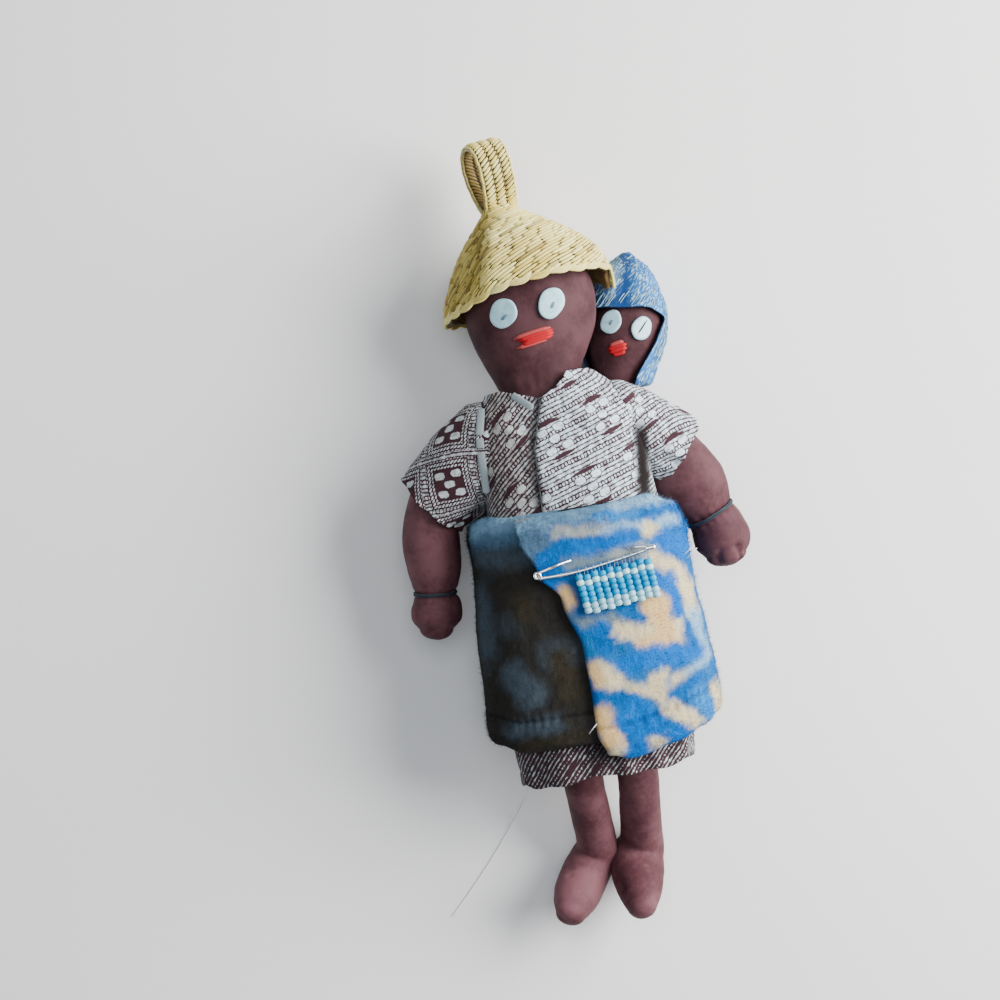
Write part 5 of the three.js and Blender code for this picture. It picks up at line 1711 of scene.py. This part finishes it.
def fleece_colour(p, flap):
    """The fleece's colour at points: bright areas on the flap, dark ones on the panel under it. The panel's
    dark and the greyer areas at the flap's left are partly the fleece's own colours and partly painted shade.
    """
    warp = np.stack([rough(p, 3.6, 41, 4), rough(p, 3.6, 42, 4)], -1) * 1.2
    warp = warp + np.stack([rough(p, 1.0, 46, 2), rough(p, 1.0, 47, 2)], -1) * 0.7
    x, y = p[..., 0] + warp[..., 0], p[..., 1] + warp[..., 1]
    mixed = smooth_step(-0.2, 0.7, noise3(p, 9, 43))[..., None]
    bright = np.array(BLUE) * (1 - mixed) + np.array(SKY) * 0.7 * mixed
    dark = np.array(CHARCOAL) + np.clip(mixed - 0.3, 0, 1) * (np.array(SLATE) - np.array(CHARCOAL)) * 0.6

    def paint(base, areas, blur):
        out = np.array(base)
        for start, end, width, colour in areas:
            a, run = np.array(start, float), np.array(end, float) - np.array(start, float)
            share = np.clip(((x - a[0]) * run[0] + (y - a[1]) * run[1]) / (run @ run), 0, 1)
            far = np.hypot(x - a[0] - share * run[0], y - a[1] - share * run[1])
            weight = (1 - smooth_step(width - 0.8 * blur, width + blur, far))[..., None]
            out = out * (1 - weight) + np.array(colour) * weight
        return out

    front = smooth_step(22, 34, p[..., 2])[..., None]
    far_side = noise3(p, 13, 44)[..., None]
    behind = bright + (np.array(CREAM) * 0.8 - bright) * smooth_step(0.05, 0.35, far_side)
    behind = behind + (np.array(CHARCOAL) - behind) * smooth_step(-0.1, -0.4, far_side) * 0.9
    bright = paint(bright, FLAP_AREAS, 1.5) * front + behind * (1 - front)
    dark = paint(dark, UNDER_AREAS, 2.2) * front + dark * (1 - front)
    tone = bright * flap[..., None] + dark * (1 - flap[..., None])
    slant = np.stack([(x + y) / 9.0, (y - x) / 0.9, p[..., 2] / 6.0], -1)
    streak = 0.5 * smooth_step(0.25, 0.9, rough(slant, 1.0, 45, 2))[..., None]
    return tone * (1 - 0.25 * streak) + (tone * 1.5 + 0.03) * 0.5 * streak


def grid_quads(index):
    """Quads of an open grid, from the number of each of its points."""
    return np.stack([index[:-1, :-1], index[1:, :-1], index[1:, 1:], index[:-1, 1:]], -1).reshape(-1, 4)


def blanket_sheet():
    """The blanket as one sheet: its outer and inner face meet in a rounded edge."""
    turns = denser_at_ends(401, 0.55) * BLANKET_TURN
    turned, along = np.meshgrid(turns, denser_at_ends(121, 0.75), indexing="ij")
    middle = blanket_base(turned, along, FLEECE / 2)
    normals = unit(blanket_base(turned, along, 0.0) - middle)
    arc_u = turned / BLANKET_TURN * SHEET_LENGTH
    arc_v = along * SHEET_HEIGHT
    near = np.minimum(np.minimum(arc_u, SHEET_LENGTH - arc_u), np.minimum(arc_v, SHEET_HEIGHT - arc_v))
    edge = np.sqrt(np.clip(1 - (1 - np.clip(near / 1.3, 0, 1)) ** 2, 0, 1))
    return middle, normals, edge, turned, arc_u, arc_v


def denser_at_ends(count, by):
    """Shares from 0 to 1 that lie closer together near both ends."""
    t = np.linspace(0, 1, count)
    return t - by * np.sin(2 * math.pi * t) / (2 * math.pi)


def make_blanket():
    """The fleece with its soft unevenness and its sewn hem, and the fibres that stand off it."""
    middle, normals, edge, turned, arc_u, arc_v = blanket_sheet()
    hem = bell(arc_v - SHEET_HEM, 0.4) * (arc_u < SHEET_LENGTH)
    puff = bell(arc_v - 4.2, 3.4) * 0.25 + smooth_step(54, 60, arc_v) * 0.3
    pucker = 0.14 * np.sin(arc_u * 2 * math.pi / 3.1) * bell(arc_v - SHEET_HEM, 2.0)
    soft = rough(middle, 7, 51) * 0.45 + rough(middle, 2.2, 52) * 0.22 + rough(middle, 0.9, 53, 2) * 0.12
    top = 0.35 * np.sin(arc_u * 0.42 + 1.2) * smooth_step(50, 62, arc_v)
    free = bell(arc_u, 3.0)
    lift = soft + puff + pucker + top + free * 0.3 - hem * 0.55
    on_floor = smooth_step(0.2, 2.5, middle[..., 2] - 1.0)
    outer = middle + normals * (edge * FLEECE / 2 + lift * edge * (0.15 + 0.85 * on_floor))[..., None]
    inner = middle - normals * (edge * FLEECE / 2)[..., None]
    outer[..., 2] = np.maximum(outer[..., 2], 0.0)
    columns, rows = middle.shape[:2]
    index_outer = np.arange(columns * rows).reshape(columns, rows)
    index_inner = index_outer.copy()
    inside = np.zeros((columns, rows), bool)
    inside[1:-1, 1:-1] = True
    index_inner[inside] = columns * rows + np.arange(inside.sum())
    points = np.concatenate([outer.reshape(-1, 3), inner[inside]])
    flap = 1 - smooth_step(150, 265, turned)
    tone = fleece_colour(middle, flap) * (1 - 0.35 * hem[..., None])
    colour = np.concatenate([tone.reshape(-1, 3), tone[inside]])
    uv = np.stack([arc_u, arc_v], -1)
    uv = np.concatenate([uv.reshape(-1, 2), uv[inside]])
    faces = [grid_quads(index_outer), grid_quads(index_inner)[:, ::-1]]
    piece = new_object("fleece_blanket", points, faces, FLEECE_CLOTH, uv, None, colour)
    face_outward(piece)
    keep(piece, "fleece", "blanket")
    fleece_fibres(outer, normals, tone, on_floor)


FIBRES = 23000


def fleece_fibres(outer, normals, tone, on_floor):
    """Short loose fibres that stand off the brushed face."""
    columns, rows = outer.shape[:2]
    i = rng.integers(1, columns - 1, FIBRES)
    j = rng.integers(1, rows - 1, FIBRES)
    ok = on_floor[i, j] > 0.5
    i, j = i[ok], j[ok]
    root = outer[i, j]
    lean = rng.normal(0, 0.55, (len(i), 3)) + np.array([0.25, 0.35, 0.0])
    tip = root + unit(normals[i, j] + lean) * rng.uniform(0.5, 1.5, (len(i), 1))
    shade = tone[i, j] * rng.uniform(0.7, 1.5, (len(i), 1)) + 0.003
    side = unit(np.cross(tip - root, rng.normal(0, 1, (len(i), 3))))
    other = unit(np.cross(tip - root, side))
    r = 0.045
    base = root - normals[i, j] * 0.1
    corners = [
        base + side * r,
        base - side * r * 0.5 + other * r * 0.87,
        base - side * r * 0.5 - other * r * 0.87,
        tip,
    ]
    points = np.stack(corners, 1).reshape(-1, 3)
    k = np.arange(len(i))[:, None] * 4
    faces = np.concatenate([k + np.array(f) for f in ((0, 1, 3), (1, 2, 3), (2, 0, 3), (0, 2, 1))])
    piece = new_object("fleece_fibres", points, [faces], FLEECE_CLOTH, points[:, :2],
                       colour=np.repeat(shade, 4, 0))
    keep(piece, "fleece")


# Pin and beads
def flap_height(x, y):
    """Height of the blanket's flap at a place."""
    return front_height(BLANKET, x, y, furthest=1)


PIN_LOWER = [(-11.6, -9.9), (-2.0, -9.9), (8.0, -8.8), (17.0, -7.5)]
PIN_UPPER = [(-11.8, -8.5), (-8.0, -7.7), (-4.3, -7.0), (3.0, -6.3), (9.6, -6.3), (12.6, -6.4), (17.0, -7.0)]
PIN_UPPER_LIFT = [0, 0, -1.1, -3.6, -3.0, -0.4, 0]
PIN_COIL = {"x": -12.0, "y": -9.1, "radius": 0.64}
PIN_CLASP = {"x": 16.8, "y": -7.3, "length": 3.2, "width": 1.35, "height": 1.2}


def pin_heights(points):
    """The pin's points laid on the flap, with even heights between its two ends."""
    lift = LAYER_GAP + PIN_WIRE
    left = flap_height(*points[0]) + lift + 0.9
    right = flap_height(*points[-1]) + lift + 1.9
    x0, x1 = points[0][0], points[-1][0]
    return [(x, y, left + (right - left) * (x - x0) / (x1 - x0)) for x, y in points]


def make_pin():
    """The safety pin: two arms, a coil at one end and a clasp at the other."""
    bundle = Bundle()
    lower = np.array(pin_heights(PIN_LOWER))
    upper = np.array(pin_heights(PIN_UPPER))
    upper[:, 2] += PIN_UPPER_LIFT
    bundle.wire(curve_through(lower, 60), PIN_WIRE, 12)
    bundle.wire(curve_through(upper, 60), PIN_WIRE * 0.95, 12)
    turn = np.linspace(0, 4.4 * math.pi, 70)
    base = lower[0, 2]
    coil = np.stack([PIN_COIL["x"] + PIN_COIL["radius"] * np.cos(turn),
                     PIN_COIL["y"] + PIN_COIL["radius"] * np.sin(turn),
                     base - 0.45 + turn / (4.4 * math.pi) * 0.9], -1)
    bundle.wire(coil, PIN_WIRE * 0.95, 10)
    rings = []
    for f in np.linspace(-1, 1, 25):
        wide = (1 - abs(f) ** 4) ** 0.5
        angle = full_turn(28)
        flat = np.sign(np.sin(angle)) * np.abs(np.sin(angle)) ** 0.8
        rings.append(np.stack([np.full(28, PIN_CLASP["x"] + f * PIN_CLASP["length"] / 2),
                               PIN_CLASP["y"] + np.cos(angle) * PIN_CLASP["width"] / 2 * max(wide, 0.05),
                               lower[-1, 2] + flat * PIN_CLASP["height"] / 2 * max(wide, 0.05)], -1))
    clasp = closed_form("pin_clasp", np.stack(rings), STEEL)
    keep(clasp, "plated_steel")
    keep(bundle.build("pin_wire", STEEL), "plated_steel", "safety_pin")


BEAD_ROWS = ["aqua", "white", "aqua", "aqua", "aqua", "clear", "clear"]
BEAD_TONES = {"aqua": (0.0, 0.33, 0.64), "white": (0.48, 0.86, 0.96), "clear": (0.36, 0.70, 0.82)}


# A bead's barrel from hole to hole: share of its length, and share of its radius
BEAD_PROFILE = [
    (-0.36, 0.3), (-0.5, 0.55), (-0.44, 0.84), (-0.22, 0.98), (0, 1.0), (0.22, 0.98), (0.44, 0.84),
    (0.5, 0.55), (0.36, 0.3),
]


def bead(bundle, centre, axis, radius, length, tone):
    """A seed bead: a short barrel with a hole, lying along its thread."""
    side = unit(np.cross(axis, (0.1, 0.2, 1.0)))
    up = np.cross(axis, side)
    angle = full_turn(12)
    ring = side * np.cos(angle)[:, None] + up * np.sin(angle)[:, None]
    grid = np.stack([centre + axis * a * length + ring * r * radius for a, r in BEAD_PROFILE])
    quads, _ = tube_faces(len(BEAD_PROFILE), 12, wrap_rings=True)
    bundle.add(grid.reshape(-1, 3), quads, [], tone)


def make_tag():
    """Seven rows of seed beads side by side, each column hung on the pin by its own thread."""
    beads, threads = Bundle(), Bundle()
    left = flap_height(TAG_TOP["x"], TAG_TOP["y"]) + BEAD / 2 + LAYER_GAP + 0.5
    reach = TAG_COLUMNS * BEAD
    right = flap_height(TAG_TOP["x"] + reach, TAG_TOP["y"]) + BEAD / 2 + LAYER_GAP + 1.4
    for i in range(TAG_COLUMNS):
        for j, name in enumerate(BEAD_ROWS):
            along = (i + 0.5) * BEAD + rng.uniform(-0.05, 0.05)
            down = (j + 0.5) * BEAD_ROW + (0.3 * BEAD_ROW if i % 2 else 0) - 0.2
            centre = np.array([TAG_TOP["x"] + along + TAG_TOP["skew"] * down,
                               TAG_TOP["y"] - down + TAG_TOP["slope"] * along,
                               left + (right - left) * along / reach + rng.uniform(-0.08, 0.08)])
            axis = unit(np.array([TAG_TOP["skew"] + rng.uniform(-0.1, 0.1), -1.0, rng.uniform(-0.08, 0.08)]))
            tone = np.array(BEAD_TONES[name]) * rng.uniform(0.88, 1.1)
            bead(beads, centre, axis, BEAD * 0.53, BEAD_ROW * 1.04, tone)
    for i in range(TAG_COLUMNS):
        along = (i + 0.5) * BEAD
        x = TAG_TOP["x"] + along
        y = TAG_TOP["y"] + TAG_TOP["slope"] * along
        z = left + (right - left) * along / reach
        pin_y = float(np.interp(x, [p[0] for p in PIN_LOWER], [p[1] for p in PIN_LOWER]))
        line = [
            (x - 0.5, y - 0.3, z), (x - 0.35, pin_y - 0.5, z + 0.1), (x - 0.1, pin_y, z + 0.62),
            (x + 0.2, pin_y + 0.55, z + 0.1), (x + 0.35, pin_y + 0.1, z - 0.55),
            (x + 0.5, y - 0.3, z - 0.2),
        ]
        threads.wire(curve_through(line, 24), 0.09, 6, tone=PALE)
    keep(beads.build("tag_beads", BEADS), "seed_beads", "bead_tag")
    keep(threads.build("tag_threads", THREAD), "white_thread")


# Child
def baby_body():
    """The child's head and body, one stuffed form."""
    p = loft(BABY, 130, 96, start_dome=3.6, end_dome=5)
    p = lumps(p, 6, 0.2, 7)
    piece = closed_form("baby_body", p, HEAD_KNIT)
    keep(piece, "brown_knit", "baby_head_and_body")


def hood_shell():
    """Rays from the head's middle find the hood: from the face's edge round to the back."""
    solid = loft(HOOD, 120, 120, start_dome=2, end_dome=0.01)
    probe = closed_form("hood_probe", solid, HOOD_WEAVE)
    tree = BVHTree.FromObject(probe, bpy.context.evaluated_depsgraph_get())
    bpy.data.objects.remove(probe)
    centre = np.array(HOOD_MIDDLE)
    outline = np.array(FACE_OPENING + FACE_OPENING[:1], float)
    length = lengths_along(outline)
    sides, rows = 144, 72
    at = np.linspace(0, length[-1], sides, endpoint=False)
    edge = np.stack([np.interp(at, length, outline[:, 0]), np.interp(at, length, outline[:, 1])], -1)
    for _ in range(2):
        edge = (np.roll(edge, 1, 0) + edge * 2 + np.roll(edge, -1, 0)) / 4
    grid = np.zeros((rows, sides, 3))
    for j, (ex, ey) in enumerate(edge):
        s = section_at(HOOD, np.array([ey]))[0]
        off = np.clip((ex - s[0]) / s[3], -0.985, 0.985)
        rim = np.array([s[0] + off * s[3], max(ey, 34.3), s[2] + s[4] * math.sqrt(1 - off * off)])
        first = unit(rim - centre)
        outwards = unit(np.array([first[0], first[1], 0.0]) + 1e-6)
        tilt0 = math.atan2(first[2], math.hypot(first[0], first[1]))
        for i in range(rows):
            f = i / (rows - 1)
            tilt = tilt0 + (-math.pi / 2 * 0.985 - tilt0) * f
            ray = outwards * math.cos(tilt) + np.array([0, 0, math.sin(tilt)])
            hit = tree.ray_cast(Vector(to_row(centre)), Vector(ray))[0]
            grid[i, j] = np.array(hit) / MM - DOLL_ORIGIN if hit else grid[i - 1, j]
    return grid


def make_hood():
    """The hood with its middle fold, uneven cloth, white threads, and its inside painted near black as shade.
    """
    grid = hood_shell()
    x, y, z = grid[..., 0], grid[..., 1], grid[..., 2]
    fold_x = np.interp(y, *HOOD_FOLD)
    fold_width = np.interp(y, [56, 69], [3.0, 1.3])
    fold = bell(x - fold_x, fold_width) * smooth_step(53, 56, y) * smooth_step(8, 14, z)
    amount = rough(grid, 5, 61) * 0.3 + rough(grid, 1.6, 62) * 0.12 - fold * 0.8
    lip = np.exp(-np.arange(len(grid)) / 1.6)[:, None] * 0.35
    out = unit(grid - np.array(HOOD_MIDDLE))
    outer = grid + out * (amount - 0.35 + lip)[..., None]
    rows = hood_rows(outer, out)
    tone = hood_tone(grid, fold)
    # Painted shade: the hood's inside is near-black navy.
    inside_shade = np.tile(NAVY, (len(rows) - len(tone), tone.shape[1], 1))
    piece = closed_form("hood_shell", rows, HOOD_WEAVE, np.concatenate([tone[::-1], inside_shade]))
    keep(piece, "blue_woven_cotton", "baby_hood")
    hood_threads(outer, out)


def hood_rows(outer, out):
    """Rows from the hood's back over its outside to the face's edge, and back again on its inside."""
    inner = outer - out * HOOD_CLOTH * 0.75
    forward = unit(outer[0] - outer[1])
    lip = []
    for share in (0.25, 0.5, 0.75):
        lip.append(inner[0] * share + outer[0] * (1 - share) + forward * math.sin(share * math.pi) * 0.4)
    return np.concatenate([outer[::-1], np.stack(lip), inner])


def hood_tone(grid, fold):
    """Darker blue left of the middle fold, lighter on its right toward the key lamp, and darkest in the fold:
    painted shade and light.
    """
    x, y = grid[..., 0], grid[..., 1]
    deep, mid, light = np.array(HOOD_FOLD_SHADE), np.array(HOOD_SHADED_BLUE), np.array(HOOD_LIT_BLUE)
    right = smooth_step(-1.0, 4.0, x - np.interp(y, *HOOD_FOLD))[..., None]
    base = mid * (1 - right) + light * right
    patch = smooth_step(-0.3, 0.4, noise3(grid, 4.0, 63))[..., None]
    base = base * (0.7 + 0.3 * patch)
    faded = np.exp(-(((x - 19.5) / 4.0) ** 2) - ((y - 66) / 3.5) ** 2)[..., None] * 0.7
    base = base * (1 - faded) + np.array(HOOD_WHITE) * faded
    return base * (1 - fold[..., None] * 0.94) + deep * fold[..., None] * 0.94


def hood_threads(outer, out):
    """White threads floated over the blue ground, all slanting one way."""
    bundle = Bundle()
    rows, sides = outer.shape[:2]
    flat = outer.reshape(-1, 3)
    tree = BVHTree.FromPolygons([Vector(p) for p in flat],
                                [tuple(int(v) for v in q) for q in tube_faces(rows, sides)[0]])
    direction = unit(np.array([0.72, 0.70, 0.0]))
    for _ in range(460):
        i, j = rng.integers(1, rows - 1), rng.integers(0, sides)
        centre = outer[i, j]
        length = rng.uniform(1.6, 4.2)
        line = []
        for t in np.linspace(-0.5, 0.5, 9):
            found = tree.find_nearest(Vector(centre + direction * t * length))[0]
            line.append(np.array(found) + out[i, j] * (0.07 + 0.1 * (1 - 4 * t * t)))
        bundle.wire(np.array(line), 0.13, 5, tone=np.array(HOOD_WHITE) * rng.uniform(0.5, 1.0))
    keep(bundle.build("hood_threads", THREAD), "blue_woven_cotton")


# Small threads that catch the light
def loose_ends():
    bundle = Bundle()
    ends = [
        [(-6.4, -50.4, 46.8), (-5.4, -49.2, 48.6), (-4.2, -48.2, 48.4)],
        [(26.0, -11.8, 42.6), (27.2, -10.8, 43.6), (28.9, -9.8, 42.2)],
        [(25.6, -10.6, 43.6), (27.0, -9.6, 44.0), (28.4, -9.0, 42.8)],
    ]
    for line in ends:
        bundle.wire(curve_through(line, 16), 0.14, 6, tone=THREAD_WHITE)
    keep(bundle.build("stray_thread_ends", THREAD), "white_thread")


# Stage
FLOOR_REACH = 3000.0
WORLD_COLOUR = (0.90, 0.94, 1.0, 1)
WORLD_STRENGTH = 0.31
LIGHTS_AIM = (0, 0, 25)


def make_stage():
    """A pale floor, an even sky and two soft lamps."""
    corners = np.array([(-1, -1, 0), (1, -1, 0), (1, 1, 0), (-1, 1, 0)]) * FLOOR_REACH
    floor = new_object("floor", corners, [np.array([[0, 1, 2, 3]])], floor_material())
    world = bpy.data.worlds.new("studio")
    bpy.context.scene.world = world
    world.use_nodes = True
    world.node_tree.nodes["Background"].inputs[0].default_value = WORLD_COLOUR
    world.node_tree.nodes["Background"].inputs[1].default_value = WORLD_STRENGTH
    light("key", (520, 90, 350), 0.58, 13.8, (1.0, 0.98, 0.95))
    light("fill", (-40, 120, 900), 0.5, 2.6, (0.90, 0.95, 1.0))


def light(name, place, size, power, colour):
    """A round lamp of a size in metres, turned to the doll's middle."""
    data = bpy.data.lights.new(name, "AREA")
    data.shape = "DISK"
    data.size = size
    data.energy = power
    data.color = colour
    lamp = bpy.data.objects.new(name, data)
    lamp.location = to_row(place)
    aim = Vector(to_row(LIGHTS_AIM)) - lamp.location
    lamp.rotation_euler = aim.to_track_quat("-Z", "Y").to_euler()
    bpy.context.scene.collection.objects.link(lamp)


mother_head_and_torso()
make_limbs()
wrist_tie("right_wrist_thread", "right_wrist_tie", RIGHT_ARM, RIGHT_WRIST)
wrist_tie("left_wrist_thread", "left_wrist_tie", LEFT_ARM, LEFT_WRIST)
make_hat()
make_dress()
baby_body()
make_hood()
make_faces()
make_blanket()
make_pin()
make_tag()
loose_ends()
make_stage()
